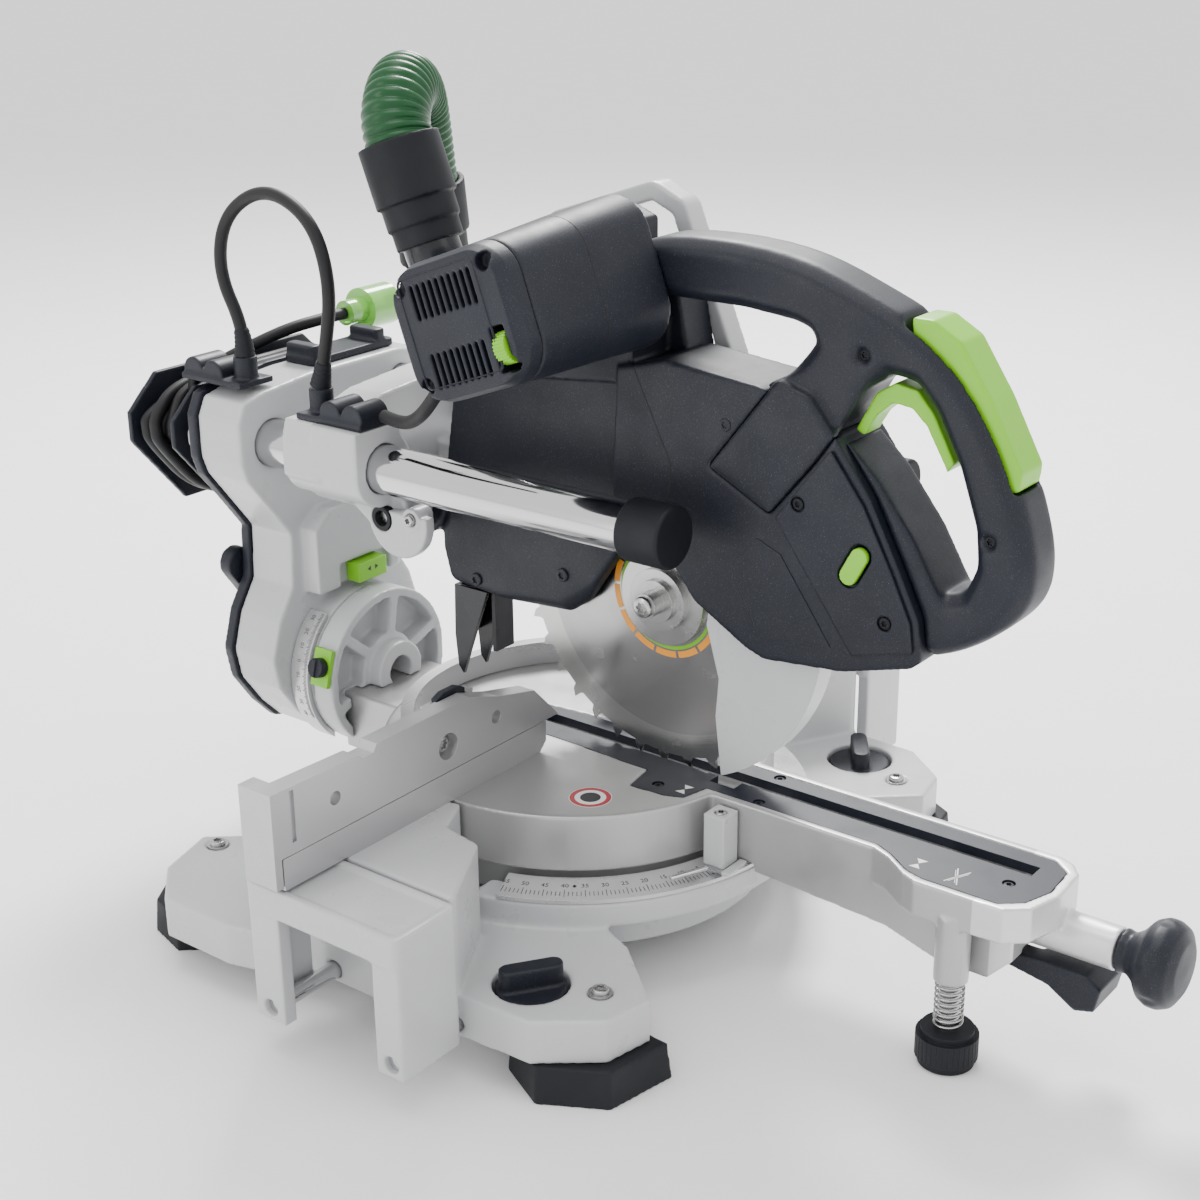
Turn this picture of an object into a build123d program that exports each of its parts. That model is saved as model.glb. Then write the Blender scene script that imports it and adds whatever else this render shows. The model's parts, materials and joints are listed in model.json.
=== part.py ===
from build123d import *
from math import cos, sin, radians
import os

os.makedirs("parts", exist_ok=True)

# Frame: origin on the floor under the turntable pivot, X to the operator's right,
# Y away from the operator, Z up.  All sizes in millimetres.

# Main heights and radii
table_z = 107.0          # working surface of the table
wing_z = 48.0            # top of the four base wings
disc_r = 121.7           # machined turntable disc
ring_in_r = 123.4        # inner edge of the mitre scale ring
ring_out_r = 144.5       # outer edge of the mitre scale ring
fence_y = -4.0           # front face of the fence
fence_top_z = 165.5

# Saw head
blade_r = 108.0
blade_y = -67.9
blade_z = 210.2
blade_t = 1.8
pivot_y = 105.0          # chop hinge axis, along X
pivot_z = 239.0

# Slide rails, along Y
rail_x = -56.0
rail_z = 270.5
rail_r = 15.0
rail2_x = 62.0
rail2_z = 286.5
rail2_r = 10.0

# Bevel hub, axis along Y at the table surface
hub_r = 54.0
hub_y = 163.0


def save(part, name):
    """Label one piece and write its STEP file."""
    part.label = name
    export_step(part, "parts/" + name + ".step")


def x_plane(x, y=0.0, z=0.0):
    """Sketch plane facing +X at one x; local axes are Y and Z."""
    return Plane(origin=(x, y, z), x_dir=(0, 1, 0), z_dir=(1, 0, 0))


def y_plane(y, x=0.0, z=0.0):
    """Sketch plane facing +Y at one y; local axes are -X and Z."""
    return Plane(origin=(x, y, z), x_dir=(-1, 0, 0), z_dir=(0, 1, 0))


def front_plane(y, x=0.0, z=0.0):
    """Sketch plane facing -Y at one y; local axes are X and Z."""
    return Plane(origin=(x, y, z), x_dir=(1, 0, 0), z_dir=(0, -1, 0))


def flip(points):
    """The same plan outline on the other side of the YZ plane."""
    return [(-x, y) for x, y in points]


# ---------------------------------------------------------------- base casting
front_wing = [(90, -70), (112, -122), (148, -164), (178, -158), (203, -126), (207, -60), (120, -10)]
rear_wing = [
    (110, -20), (207, -20), (207, 36), (226, 56), (231, 74), (231, 128), (206, 155), (166, 168), (110, 100),
]
front_pocket = [(118, -82), (152, -152), (172, -150), (196, -122), (200, -64), (128, -40)]
rear_pocket = [(122, 30), (198, 30), (221, 62), (223, 124), (202, 147), (168, 158), (122, 90)]
side_block = [(118, -8), (147.5, -22), (153, -50), (203, -78), (207.5, -78), (207.5, 54), (118, 8)]
foot_spots = [(158.0, -138.3), (168.0, 152.0)]
knob_spot = (172.3, -102.3)
rod_rows = (-76.0, 14.0)
rod_z = 29.5
rod_r = 5.0

with BuildPart() as base:
    with BuildSketch(Plane.XY.offset(22)):
        Circle(120)
        Polygon(*front_wing, align=None)
        Polygon(*flip(front_wing), align=None)
        Polygon(*rear_wing, align=None)
        Polygon(*flip(rear_wing), align=None)
    extrude(amount=wing_z - 22)
    # open underside of each wing and of the middle
    with BuildSketch(Plane.XY.offset(22)):
        Polygon(*front_pocket, align=None)
        Polygon(*flip(front_pocket), align=None)
        Polygon(*rear_pocket, align=None)
        Polygon(*flip(rear_pocket), align=None)
    extrude(amount=8, mode=Mode.SUBTRACT)
    with BuildSketch(Plane.XY.offset(22)):
        Circle(106)
        Circle(30, mode=Mode.SUBTRACT)
    extrude(amount=20, mode=Mode.SUBTRACT)
    # band that carries the mitre scale, and its seat
    with BuildSketch(Plane.XY.offset(wing_z)):
        Circle(ring_out_r)
        Circle(118, mode=Mode.SUBTRACT)
        with Locations((0, 80)):
            Rectangle(320, 220, mode=Mode.SUBTRACT)
    extrude(amount=4)
    with BuildSketch(Plane.XY.offset(wing_z + 4)):
        Circle(ring_out_r)
        Circle(ring_in_r, mode=Mode.SUBTRACT)
        with Locations((0, 80)):
            Rectangle(320, 220, mode=Mode.SUBTRACT)
    extrude(amount=12)
    # table blocks left and right of the turntable
    with BuildSketch(Plane.XY.offset(wing_z - 2)):
        Polygon(*side_block, align=None)
        Polygon(*flip(side_block), align=None)
    extrude(amount=table_z - wing_z + 2)
    with BuildSketch(Plane.XY.offset(wing_z)):
        Circle(ring_in_r)
    extrude(amount=80, mode=Mode.SUBTRACT)
    # pivot pin of the turntable
    with BuildSketch(Plane.XY.offset(wing_z - 6)):
        Circle(12)
    extrude(amount=26)
    # bores for the extension rods
    with Locations(*[Location((0, y, rod_z), (0, 90, 0)) for y in rod_rows]):
        Cylinder(rod_r + 0.3, 470, mode=Mode.SUBTRACT)
    # recesses of the two clamp knobs
    with BuildSketch(Plane.XY.offset(36)):
        with Locations(knob_spot, (-knob_spot[0], knob_spot[1])):
            Circle(21.5)
    extrude(amount=20, mode=Mode.SUBTRACT)
    with BuildSketch(Plane.XY.offset(22)):
        with Locations(knob_spot, (-knob_spot[0], knob_spot[1])):
            Circle(4.3)
    extrude(amount=20, mode=Mode.SUBTRACT)
    # bench screw holes
    with BuildSketch(Plane.XY.offset(20)):
        with Locations(*[(sx * x, y) for x, y in foot_spots for sx in (-1, 1)]):
            Circle(3.5)
    extrude(amount=30, mode=Mode.SUBTRACT)
    with BuildSketch(Plane.XY.offset(wing_z - 3)):
        with Locations(*[(sx * x, y) for x, y in foot_spots for sx in (-1, 1)]):
            Circle(7.0)
    extrude(amount=5, mode=Mode.SUBTRACT)
save(base.part, "base_casting")

# ---------------------------------------------------------------- feet and their screws
front_foot = [(140, -132), (143, -172), (184, -164), (203, -130), (188, -100), (160, -98)]
rear_foot = [(150, 128), (150, 172), (178, 186), (206, 168), (214, 140), (190, 112)]

with BuildPart() as feet:
    with BuildSketch(Plane.XY.offset(22)):
        Polygon(*front_foot, align=None)
        Polygon(*flip(front_foot), align=None)
        Polygon(*rear_foot, align=None)
        Polygon(*flip(rear_foot), align=None)
    extrude(amount=-22, taper=-5)
    with BuildSketch(Plane.XY.offset(-1)):
        with Locations(*[(sx * x, y) for x, y in foot_spots for sx in (-1, 1)]):
            Circle(3.5)
    extrude(amount=30, mode=Mode.SUBTRACT)
save(feet.part, "rubber_feet")

with BuildPart() as foot_screws:
    with BuildSketch(Plane.XY.offset(wing_z - 3)):
        with Locations(*[(sx * x, y) for x, y in foot_spots for sx in (-1, 1)]):
            Circle(6.6)
            Circle(3.5, mode=Mode.SUBTRACT)
    extrude(amount=3.6)
save(foot_screws.part, "foot_bushes")

# ---------------------------------------------------------------- mitre scale ring
scale_start = radians(-90 - 71)
start_dir = Vector(cos(scale_start), sin(scale_start), 0)

with BuildPart() as scale_ring:
    with BuildSketch(Plane(origin=(0, 0, 0), x_dir=start_dir, z_dir=start_dir.cross(Vector(0, 0, 1)))):
        Polygon(
            (ring_in_r, 64.1), (ring_out_r, 64.1), (ring_out_r, 66.4), (ring_in_r, 69.4), align=None
        )
    revolve(axis=Axis.Z, revolution_arc=142)
save(scale_ring.part, "mitre_scale_ring")

# ---------------------------------------------------------------- fixed fence with rear bridge
bridge_r = 110.0
bridge_z = 123.5
strip_outline = [(-254, table_z), (-43, table_z), (-37, 113), (-37, 126), (-254, 126)]

with BuildPart() as fence_casting:
    for outline in (strip_outline, flip(strip_outline)):
        with BuildSketch(front_plane(14)):
            Polygon(*outline, align=None)
        extrude(amount=14 - fence_y)
    with BuildSketch(Plane.XY.offset(table_z + 1.0)):
        Circle(bridge_r)
        Circle(bridge_r - 8, mode=Mode.SUBTRACT)
        with Locations((0, -150)):
            Rectangle(340, 300, mode=Mode.SUBTRACT)
    extrude(amount=bridge_z - table_z - 1.0)
    # the strips stand clear of the sliding table extensions
    with BuildSketch(Plane.XY.offset(table_z - 1)):
        with Locations((-232, 0), (232, 0)):
            Rectangle(48, 60)
    extrude(amount=1.5, mode=Mode.SUBTRACT)
save(fence_casting.part, "fence_casting")

# ---------------------------------------------------------------- sliding upper fences
upper_outline = [
    (-249, 126.4), (-25, 126.4), (-33, 135), (-47, 149.5), (-80, 157.4), (-104, fence_top_z),
    (-181, fence_top_z), (-184, 161), (-192, 161), (-195, 163.5), (-249, fence_top_z),
]
fence_holes = [(-214, 146, 4.0), (-124, 142, 8.0), (-82, 145, 4.0)]


def sliding_fence(side):
    """Upper fence half; side is 1 on the left and -1 on the right."""
    with BuildPart() as fence:
        with BuildSketch(front_plane(8)):
            Polygon(*[(side * x, z) for x, z in upper_outline], align=None)
        extrude(amount=8 - fence_y)
        # end cheek and the rear guide rib
        with BuildSketch(front_plane(20)):
            with Locations((side * -254.5, 146)):
                Rectangle(11, 39)
            with Locations((side * -257.5, 118)):
                Rectangle(5, 17)
        extrude(amount=20 - fence_y)
        with BuildSketch(front_plane(14)):
            with Locations((side * -160, 134)):
                Rectangle(180, 15)
            with Locations((side * -108, 152)):
                Rectangle(38, 22)
        extrude(amount=6.5)
        # window of the release spring, open at the top edge
        with BuildSketch(Plane.XY.offset(148)):
            with Locations((side * -108, 9.5)):
                Rectangle(26, 6)
        extrude(amount=30, mode=Mode.SUBTRACT)
        with BuildSketch(front_plane(30)):
            for x, z, r in fence_holes:
                with Locations((side * x, z)):
                    Circle(r)
        extrude(amount=60, mode=Mode.SUBTRACT)
        with BuildSketch(front_plane(fence_y + 2)):
            with Locations((side * -245, 148)):
                Rectangle(3, 30)
        extrude(amount=4, mode=Mode.SUBTRACT)
    return fence.part


save(sliding_fence(1), "fence_slide_left")
save(sliding_fence(-1), "fence_slide_right")

# ---------------------------------------------------------------- table extensions
tray_in_x = 209.6
tray_out_x = 256.4
tray_front_y = -84.8
tray_rear_y = 26.0


def table_extension(side):
    """Pull-out table end with two hanging legs; side is -1 on the left."""
    middle_x = side * (tray_in_x + tray_out_x) / 2
    middle_y = (tray_front_y + tray_rear_y) / 2
    with BuildPart() as tray:
        with BuildSketch(Plane.XY.offset(88.5)):
            with Locations((middle_x, middle_y)):
                RectangleRounded(tray_out_x - tray_in_x, tray_rear_y - tray_front_y, 4)
        extrude(amount=18)
        with BuildSketch(Plane.XY.offset(105.2)):
            with Locations((middle_x, middle_y)):
                RectangleRounded(tray_out_x - tray_in_x - 9, tray_rear_y - tray_front_y - 9, 3)
        extrude(amount=3, mode=Mode.SUBTRACT)
        with BuildSketch(Plane.XY.offset(88.5)):
            with Locations((middle_x, middle_y)):
                Rectangle(tray_out_x - tray_in_x - 8, tray_rear_y - tray_front_y - 8)
        extrude(amount=10, mode=Mode.SUBTRACT)
        # front leg and rear leg, each gripping one rod
        with BuildSketch(Plane.XY.offset(rod_z - 7.5)):
            with Locations((side * 231, tray_front_y + 4)):
                Rectangle(40, 8)
            with Locations((side * 251, tray_front_y + 9.5)):
                Rectangle(9, 19)
            with Locations((side * 251, rod_rows[1])):
                Rectangle(9, 22)
            with Locations((side * 236, rod_rows[1] + 8)):
                Rectangle(36, 6)
        extrude(amount=92 - rod_z + 7.5)
        with Locations(*[Location((side * 232, y, rod_z), (0, 90, 0)) for y in rod_rows]):
            Cylinder(rod_r, 64, mode=Mode.SUBTRACT)
    return tray.part


def extension_rods(side):
    """The two chromed rods of one table extension."""
    with BuildPart() as rods:
        with Locations(*[Location((side * 174, y, rod_z), (0, 90, 0)) for y in rod_rows]):
            Cylinder(rod_r, 156)
    return rods.part


save(table_extension(-1), "table_extension_left")
save(table_extension(1), "table_extension_right")
save(extension_rods(-1), "extension_rods_left")
save(extension_rods(1), "extension_rods_right")


def clamp_knob(side):
    """Wing knob in its recess, with a grip bar across a round body."""
    with BuildPart() as knob:
        with BuildSketch(Plane.XY.offset(36.6)):
            with Locations((side * knob_spot[0], knob_spot[1])):
                Circle(20)
        extrude(amount=9.4)
        with BuildSketch(Plane.XY.offset(36.6)):
            with Locations(Location((side * knob_spot[0], knob_spot[1]), side * 35)):
                SlotOverall(36, 11)
        extrude(amount=22)
        with BuildSketch(Plane.XY.offset(23)):
            with Locations((side * knob_spot[0], knob_spot[1])):
                Circle(4)
        extrude(amount=13.7)
    return knob.part


save(clamp_knob(-1), "clamp_knob_left")
save(clamp_knob(1), "clamp_knob_right")

# ---------------------------------------------------------------- turntable with its arm
arm_plan = [
    (25, -90), (25, -312), (21, -322), (12, -329), (-14, -331), (-36, -325), (-46, -313),
    (-47, -262), (-43, -253), (-32, -238), (-27, -226), (-27, -90),
]
insert_plan = [
    (-20, 42), (-20, 0), (-23, -70), (-46, -74), (-44, -98), (-40, -108), (-22, -112), (-22, -226),
    (-27, -237), (-38, -253), (-41, -264), (-41, -308), (-32, -319), (-14, -325), (10, -323), (19, -312),
    (19, 0), (14, 42),
]
sleeve_x = -39.0
sleeve_y = -283.3
knob_x = 0.0
knob_z = 78.5

with BuildPart() as turntable:
    with BuildSketch(Plane.XY.offset(72)):
        Circle(disc_r)
    extrude(amount=table_z - 72)
    with BuildSketch(Plane.XY.offset(52.3)):
        Circle(116)
    extrude(amount=20)
    # arm: upper box over the scale ring, deeper web outside it
    with BuildSketch(Plane.XY.offset(86)):
        Polygon(*arm_plan, align=None)
    extrude(amount=table_z - 86)
    with BuildSketch(Plane.XY.offset(71)):
        with Locations((-1, -190)):
            Rectangle(52, 200)
    extrude(amount=20)
    with BuildSketch(x_plane(-27)):
        Polygon((-149, 88), (-149, 66), (-235, 61), (-268, 51), (-298, 51), (-312, 66), (-312, 88),
                align=None)
    extrude(amount=40)
    # neck that carries the bevel hub, passing under the fence bridge
    with BuildSketch(Plane.XY.offset(60)):
        with Locations((0, 130)):
            Rectangle(72, 80)
    extrude(amount=40)
    # sleeve of the support screw, boss of the mitre knob
    with BuildSketch(Plane.XY.offset(51)):
        with Locations((sleeve_x, sleeve_y)):
            Circle(9.5)
    extrude(amount=40)
    with Locations(Location((knob_x, -330, knob_z), (90, 0, 0))):
        Cylinder(12, 60)
    # hollow underside of the disc and arm
    with BuildSketch(Plane.XY.offset(52.3)):
        Circle(106)
        Circle(22, mode=Mode.SUBTRACT)
    extrude(amount=36, mode=Mode.SUBTRACT)
    with BuildSketch(Plane.XY.offset(50)):
        with Locations((-4, -195)):
            Rectangle(32, 90)
        with Locations((-6, -278)):
            Rectangle(28, 50)
    extrude(amount=46, mode=Mode.SUBTRACT)
    with BuildSketch(Plane.XY.offset(50)):
        Circle(12.05)
    extrude(amount=30, mode=Mode.SUBTRACT)
    # pocket of the kerf insert and the cut clearance below it
    with BuildSketch(Plane.XY.offset(101)):
        Polygon(*insert_plan, align=None)
    extrude(amount=10, mode=Mode.SUBTRACT)
    with BuildSketch(Plane.XY.offset(94)):
        with Locations((2, -130)):
            Rectangle(14, 350)
    extrude(amount=10, mode=Mode.SUBTRACT)
    # bores for the support screw and the mitre clamp spindle
    with BuildSketch(Plane.XY.offset(50)):
        with Locations((sleeve_x, sleeve_y)):
            Circle(6.05)
    extrude(amount=44, mode=Mode.SUBTRACT)
    with Locations(Location((knob_x, -330, knob_z), (90, 0, 0))):
        Cylinder(5.05, 80, mode=Mode.SUBTRACT)
    # slot for the detent lever through the front wall of the web
    with BuildSketch(Plane.XY.offset(50)):
        with Locations((-6, -307)):
            Rectangle(16, 16)
    extrude(amount=18, mode=Mode.SUBTRACT)
save(turntable.part, "turntable")

with BuildPart() as kerf_insert:
    with BuildSketch(Plane.XY.offset(101)):
        Polygon(*insert_plan, align=None)
        offset(amount=-0.3)
    extrude(amount=5.6)
    # bridges across the slot stay only at both ends
    with BuildSketch(Plane.XY.offset(100)):
        with Locations((1.5, -137)):
            Rectangle(11, 344)
        # room for the tip of the guard when the head is tilted
        with Locations((-8, -116.5)):
            Rectangle(10, 17)
    extrude(amount=10, mode=Mode.SUBTRACT)
    with BuildSketch(Plane.XY.offset(104.4)):
        with Locations((-20.5 + 2, -146), (-18, -303), (15, -139), (-15, 25), (-34, -86)):
            Circle(3.6)
    extrude(amount=5, mode=Mode.SUBTRACT)
save(kerf_insert.part, "kerf_insert")

with BuildPart() as pointer_bracket:
    with BuildSketch(front_plane(-124.5, x=-35.5)):
        Polygon((-7.5, 70.5), (7.5, 70.5), (7.5, 103), (-7.5, 103), align=None)
    extrude(amount=14)
    with BuildSketch(front_plane(-140, x=-35.5)):
        Polygon((-12, 69.8), (8, 69.8), (8, 72.2), (-12, 72.2), align=None)
    extrude(amount=5)
    with BuildSketch(Plane.XY.offset(100)):
        with Locations((-35.5, -131.5)):
            Circle(3.8)
    extrude(amount=5, mode=Mode.SUBTRACT)
save(pointer_bracket.part, "pointer_bracket")

# ---------------------------------------------------------------- front support screw
with BuildPart() as support_screw:
    with BuildSketch(Plane.XY.offset(14)):
        with Locations((sleeve_x, sleeve_y)):
            Circle(6.0)
    extrude(amount=62)
save(support_screw.part, "support_screw")

with BuildPart() as support_foot:
    with BuildSketch(Plane.XY.offset(0.6)):
        with Locations((sleeve_x, sleeve_y)):
            Circle(15.5)
    extrude(amount=4)
    with BuildSketch(Plane.XY.offset(4.6)):
        with Locations((sleeve_x, sleeve_y)):
            Circle(17.2)
            with PolarLocations(17.6, 36):
                Circle(0.7, mode=Mode.SUBTRACT)
    extrude(amount=14)
    with BuildSketch(Plane.XY.offset(18.6)):
        with Locations((sleeve_x, sleeve_y)):
            Circle(14.5)
    extrude(amount=3.4)
    with BuildSketch(Plane.XY.offset(14)):
        with Locations((sleeve_x, sleeve_y)):
            Circle(6.0)
    extrude(amount=10, mode=Mode.SUBTRACT)
save(support_foot.part, "support_foot")

spring_r = 7.6
with BuildPart() as support_spring:
    with BuildLine(Plane.XY.offset(23.2)) as coil_line:
        Helix(pitch=3.4, height=26.4, radius=spring_r, center=(sleeve_x, sleeve_y, 0))
    with BuildSketch(Plane(origin=coil_line.line @ 0, z_dir=coil_line.line % 0)):
        Circle(0.65)
    sweep(path=coil_line.line, is_frenet=True)
save(support_spring.part, "support_spring")

# ---------------------------------------------------------------- mitre knob and detent lever
with BuildPart() as mitre_knob:
    with BuildSketch(Plane(origin=(knob_x, 0, knob_z), x_dir=(1, 0, 0), z_dir=(0, 0, 1))):
        Polygon(
            (0, -361), (12.5, -361), (11, -366), (14.5, -371), (21.5, -376), (24, -381), (24, -386),
            (21.5, -391.5), (15, -395), (0, -396.5), align=None
        )
    revolve(axis=Axis((knob_x, 0, knob_z), (0, 1, 0)))
    with Locations((Location((knob_x, -382, knob_z), (90, 0, 0)))):
        with PolarLocations(33, 6, start_angle=30):
            Cylinder(10, 40, mode=Mode.SUBTRACT)
    with Locations(Location((knob_x, -340, knob_z), (90, 0, 0))):
        Cylinder(5.0, 60)
save(mitre_knob.part, "mitre_knob")

lever_side = [
    (-303, 54), (-303, 63), (-322, 63.5), (-347, 63), (-356, 57), (-353, 43), (-342, 40), (-326, 50),
]
with BuildPart() as detent_lever:
    with BuildSketch(x_plane(-12.5)):
        Polygon(*lever_side, align=None)
    extrude(amount=13)
    with BuildSketch(x_plane(-12.5)):
        Polygon((-318, 55), (-318, 63.5), (-347, 63), (-356, 57), (-353, 43), (-342, 40), align=None)
    extrude(amount=32)
save(detent_lever.part, "detent_lever")

# ---------------------------------------------------------------- bevel hub on the turntable
def about_y(y, x=0.0, z=107.0):
    """Location whose local Z runs along -Y, for cylinders about a Y axis."""
    return Location((x, y, z), (90, 0, 0))


with BuildPart() as bevel_hub:
    with Locations(about_y(171)):
        Cylinder(hub_r, 18)
    with Locations(about_y(158)):
        Cylinder(20, 14)
    # ribbed front: deep pockets between six ribs
    with BuildSketch(front_plane(175, z=table_z)):
        Circle(hub_r - 6)
        Circle(24, mode=Mode.SUBTRACT)
        with PolarLocations(36, 6, start_angle=20):
            Rectangle(34, 7, mode=Mode.SUBTRACT)
    extrude(amount=20, mode=Mode.SUBTRACT)
    with BuildSketch(Plane.XY.offset(70)):
        with Locations((0, 164)):
            Rectangle(72, 16)
    extrude(amount=30)
    with BuildSketch(Plane.XY.offset(61)):
        with Locations((0, 169)):
            Rectangle(50, 18)
    extrude(amount=20)
    with BuildSketch(Plane.XY.offset(50)):
        with Locations((0, 150)):
            Rectangle(100, 40)
    extrude(amount=10.2, mode=Mode.SUBTRACT)
    with BuildSketch(Plane.XY.offset(59.8)):
        with Locations((0, 130)):
            Rectangle(72.4, 80)
    extrude(amount=40.4, mode=Mode.SUBTRACT)
    with Locations(about_y(170)):
        Cylinder(10.05, 60, mode=Mode.SUBTRACT)
save(bevel_hub.part, "bevel_hub")

side_angle = 164.0
with BuildPart() as bevel_indicator:
    with Locations(Location((0, 170, table_z), (0, -side_angle, 0))):
        with Locations((hub_r + 1.6, 0, 0)):
            Box(3, 15, 25)
save(bevel_indicator.part, "bevel_indicator")

with BuildPart() as bevel_stop_knob:
    with Locations(Location((0, 170, table_z), (0, -side_angle, 0))):
        with Locations(Location((hub_r + 6.2, 0, 0), (0, 90, 0))):
            Cylinder(6.6, 6)
        with Locations((hub_r + 9.5, 0, 0)):
            Box(3, 3, 12)
save(bevel_stop_knob.part, "bevel_stop_knob")

# ---------------------------------------------------------------- tilting column
column_front = [
    (0, 59), (-36, 66), (-51, 82), (-66, 104), (-70, 125), (-62, 150), (-49, 170), (-47, 206), (-80, 250),
    (-84, 262), (-84, 288), (-78, 300), (-62, 304), (-20, 308), (60, 308), (84, 304), (90, 296), (90, 270),
    (80, 250), (47, 206), (49, 170), (62, 150), (70, 125), (66, 104), (51, 82), (36, 66),
]
with BuildPart() as column:
    with Locations(about_y(191)):
        Cylinder(hub_r - 0.5, 20)
    with BuildSketch(front_plane(236)):
        Polygon(*column_front, align=None)
    extrude(amount=38)
    with BuildSketch(front_plane(200)):
        Polygon((-38, 164), (-38, 208), (-24, 220), (24, 220), (38, 208), (38, 164), align=None)
    extrude(amount=16)
    with Locations(Location((rail_x, 228, rail_z), (90, 0, 0))):
        Cylinder(25, 46)
    with Locations(Location((rail2_x, 228, rail2_z), (90, 0, 0))):
        Cylinder(20, 46)
    with Locations(Location((rail_x, 220, rail_z), (90, 0, 0))):
        Cylinder(rail_r, 80, mode=Mode.SUBTRACT)
    with Locations(Location((rail2_x, 220, rail2_z), (90, 0, 0))):
        Cylinder(rail2_r, 80, mode=Mode.SUBTRACT)
    with BuildSketch(front_plane(190)):
        with Locations((5, 172)):
            Rectangle(46, 16)
    extrude(amount=20, mode=Mode.SUBTRACT)
    with Locations(about_y(200)):
        Cylinder(10.2, 90, mode=Mode.SUBTRACT)
    with Locations(about_y(171)):
        Cylinder(hub_r + 0.4, 19, mode=Mode.SUBTRACT)
save(column.part, "tilt_column")

with BuildPart() as column_cover:
    with BuildSketch(front_plane(244)):
        Polygon(*column_front, align=None)
        offset(amount=2.0, kind=Kind.INTERSECTION)
    extrude(amount=7.7)
    with Locations(about_y(240)):
        Cylinder(14, 30, mode=Mode.SUBTRACT)
    with Locations(Location((rail_x, 240, rail_z), (90, 0, 0))):
        Cylinder(25.2, 30, mode=Mode.SUBTRACT)
    with Locations(Location((rail2_x, 240, rail2_z), (90, 0, 0))):
        Cylinder(20.2, 30, mode=Mode.SUBTRACT)
save(column_cover.part, "column_cover")

with BuildPart() as bevel_scale:
    with Locations(about_y(189.5)):
        Cylinder(hub_r + 2.8, 15)
        Cylinder(hub_r - 0.5, 15, mode=Mode.SUBTRACT)
    with BuildSketch(front_plane(200)):
        with Locations((30, 110)):
            Rectangle(130, 200)
    extrude(amount=30, mode=Mode.SUBTRACT)
save(bevel_scale.part, "bevel_scale")

with BuildPart() as bevel_lever:
    with Locations(about_y(250)):
        Cylinder(17, 10)
    with BuildSketch(Plane(origin=(0, 255, table_z), x_dir=(-0.576, 0, 0.817), z_dir=(0, -1, 0))):
        with Locations((44, 0)):
            SlotOverall(106, 22)
    extrude(amount=10)
    with Locations(about_y(213)):
        Cylinder(10.0, 76)
save(bevel_lever.part, "bevel_lever")

with BuildPart() as bevel_slide:
    with Locations((5, 183.5, 172)):
        Box(26, 12, 13)
save(bevel_slide.part, "bevel_slide_button")


def rail(x, z, r, y0, y1):
    """Slide tube along Y."""
    with BuildPart() as tube:
        with Locations(Location((x, (y0 + y1) / 2, z), (90, 0, 0))):
            Cylinder(r, y1 - y0)
            Cylinder(r - 2.5, y1 - y0, mode=Mode.SUBTRACT)
    return tube.part


def rail_cap(x, z, r, y0, y1, bore, tube_end):
    """Rubber end cap slipped over a slide tube."""
    with BuildPart() as cap:
        with Locations(Location((x, (y0 + y1) / 2, z), (90, 0, 0))):
            Cylinder(r, y1 - y0)
        fillet(cap.edges().filter_by(GeomType.CIRCLE), 2.0)
        with Locations(Location((x, (tube_end + y1 + 10) / 2, z), (90, 0, 0))):
            Cylinder(bore, y1 + 10 - tube_end, mode=Mode.SUBTRACT)
    return cap.part


save(rail(rail_x, rail_z, rail_r, -108, 248), "slide_rail_left")
save(rail(rail2_x, rail2_z, rail2_r, -185, 248), "slide_rail_right")

with BuildPart() as rail_caps:
    add(rail_cap(rail_x, rail_z, 18, -113, -84, rail_r, -108))
    add(rail_cap(rail2_x, rail2_z, 12.5, -190, -168, rail2_r, -185))
save(rail_caps.part, "rail_caps")

# ---------------------------------------------------------------- cable winder and rear clips
winder_flange = [
    (-90, 282), (-66, 304), (66, 304), (90, 282), (90, 262), (50, 214), (-50, 214), (-90, 262),
]
with BuildPart() as winder:
    with BuildSketch(front_plane(298)):
        Polygon(*winder_flange, align=None)
    extrude(amount=4)
    with BuildSketch(front_plane(295)):
        Polygon(*winder_flange, align=None)
        offset(amount=-29, kind=Kind.INTERSECTION)
    extrude(amount=50)
    with BuildSketch(front_plane(262)):
        Polygon(*winder_flange, align=None)
        offset(amount=-4, kind=Kind.INTERSECTION)
    extrude(amount=4)
    with Locations(Location((rail_x, 240, rail_z), (90, 0, 0))):
        Cylinder(25.4, 23, mode=Mode.SUBTRACT)
    with Locations(Location((rail2_x, 240, rail2_z), (90, 0, 0))):
        Cylinder(20.4, 23, mode=Mode.SUBTRACT)
    # holder for the plug on top of the column
    with BuildSketch(Plane.XY.offset(308.2)):
        with Locations((28, 220)):
            RectangleRounded(76, 28, 4)
    extrude(amount=5)
    with BuildSketch(Plane.XY.offset(308.2)):
        with Locations((-4, 220), (54, 220)):
            RectangleRounded(10, 26, 3)
    extrude(amount=13)
save(winder.part, "cable_winder")

def clip_row(x, y_start, z, turn):
    """Cable clip block: three round lugs in a row on a flat base."""
    with BuildPart() as clip:
        with BuildSketch(Plane.XY.offset(z)):
            with Locations((x, y_start + 27 * turn)):
                Rectangle(28, 54)
        extrude(amount=4)
        for step in (9, 27):
            with BuildSketch(x_plane(x - 12)):
                with Locations((y_start + step * turn, z + 6)):
                    Circle(8.6)
            extrude(amount=24)
        with Locations((x, y_start + 45 * turn, z + 9)):
            Cylinder(7.5, 18)
        with BuildSketch(Plane.XY.offset(z - 20)):
            with Locations((x, y_start + 27 * turn)):
                Rectangle(40, 80)
        extrude(amount=20, mode=Mode.SUBTRACT)
    return clip.part


cord_r = 4.0
column_clip_z = 307.6
carriage_clip_z = 297.2
save(clip_row(-62, 257, column_clip_z, -1), "column_clip")

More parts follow.
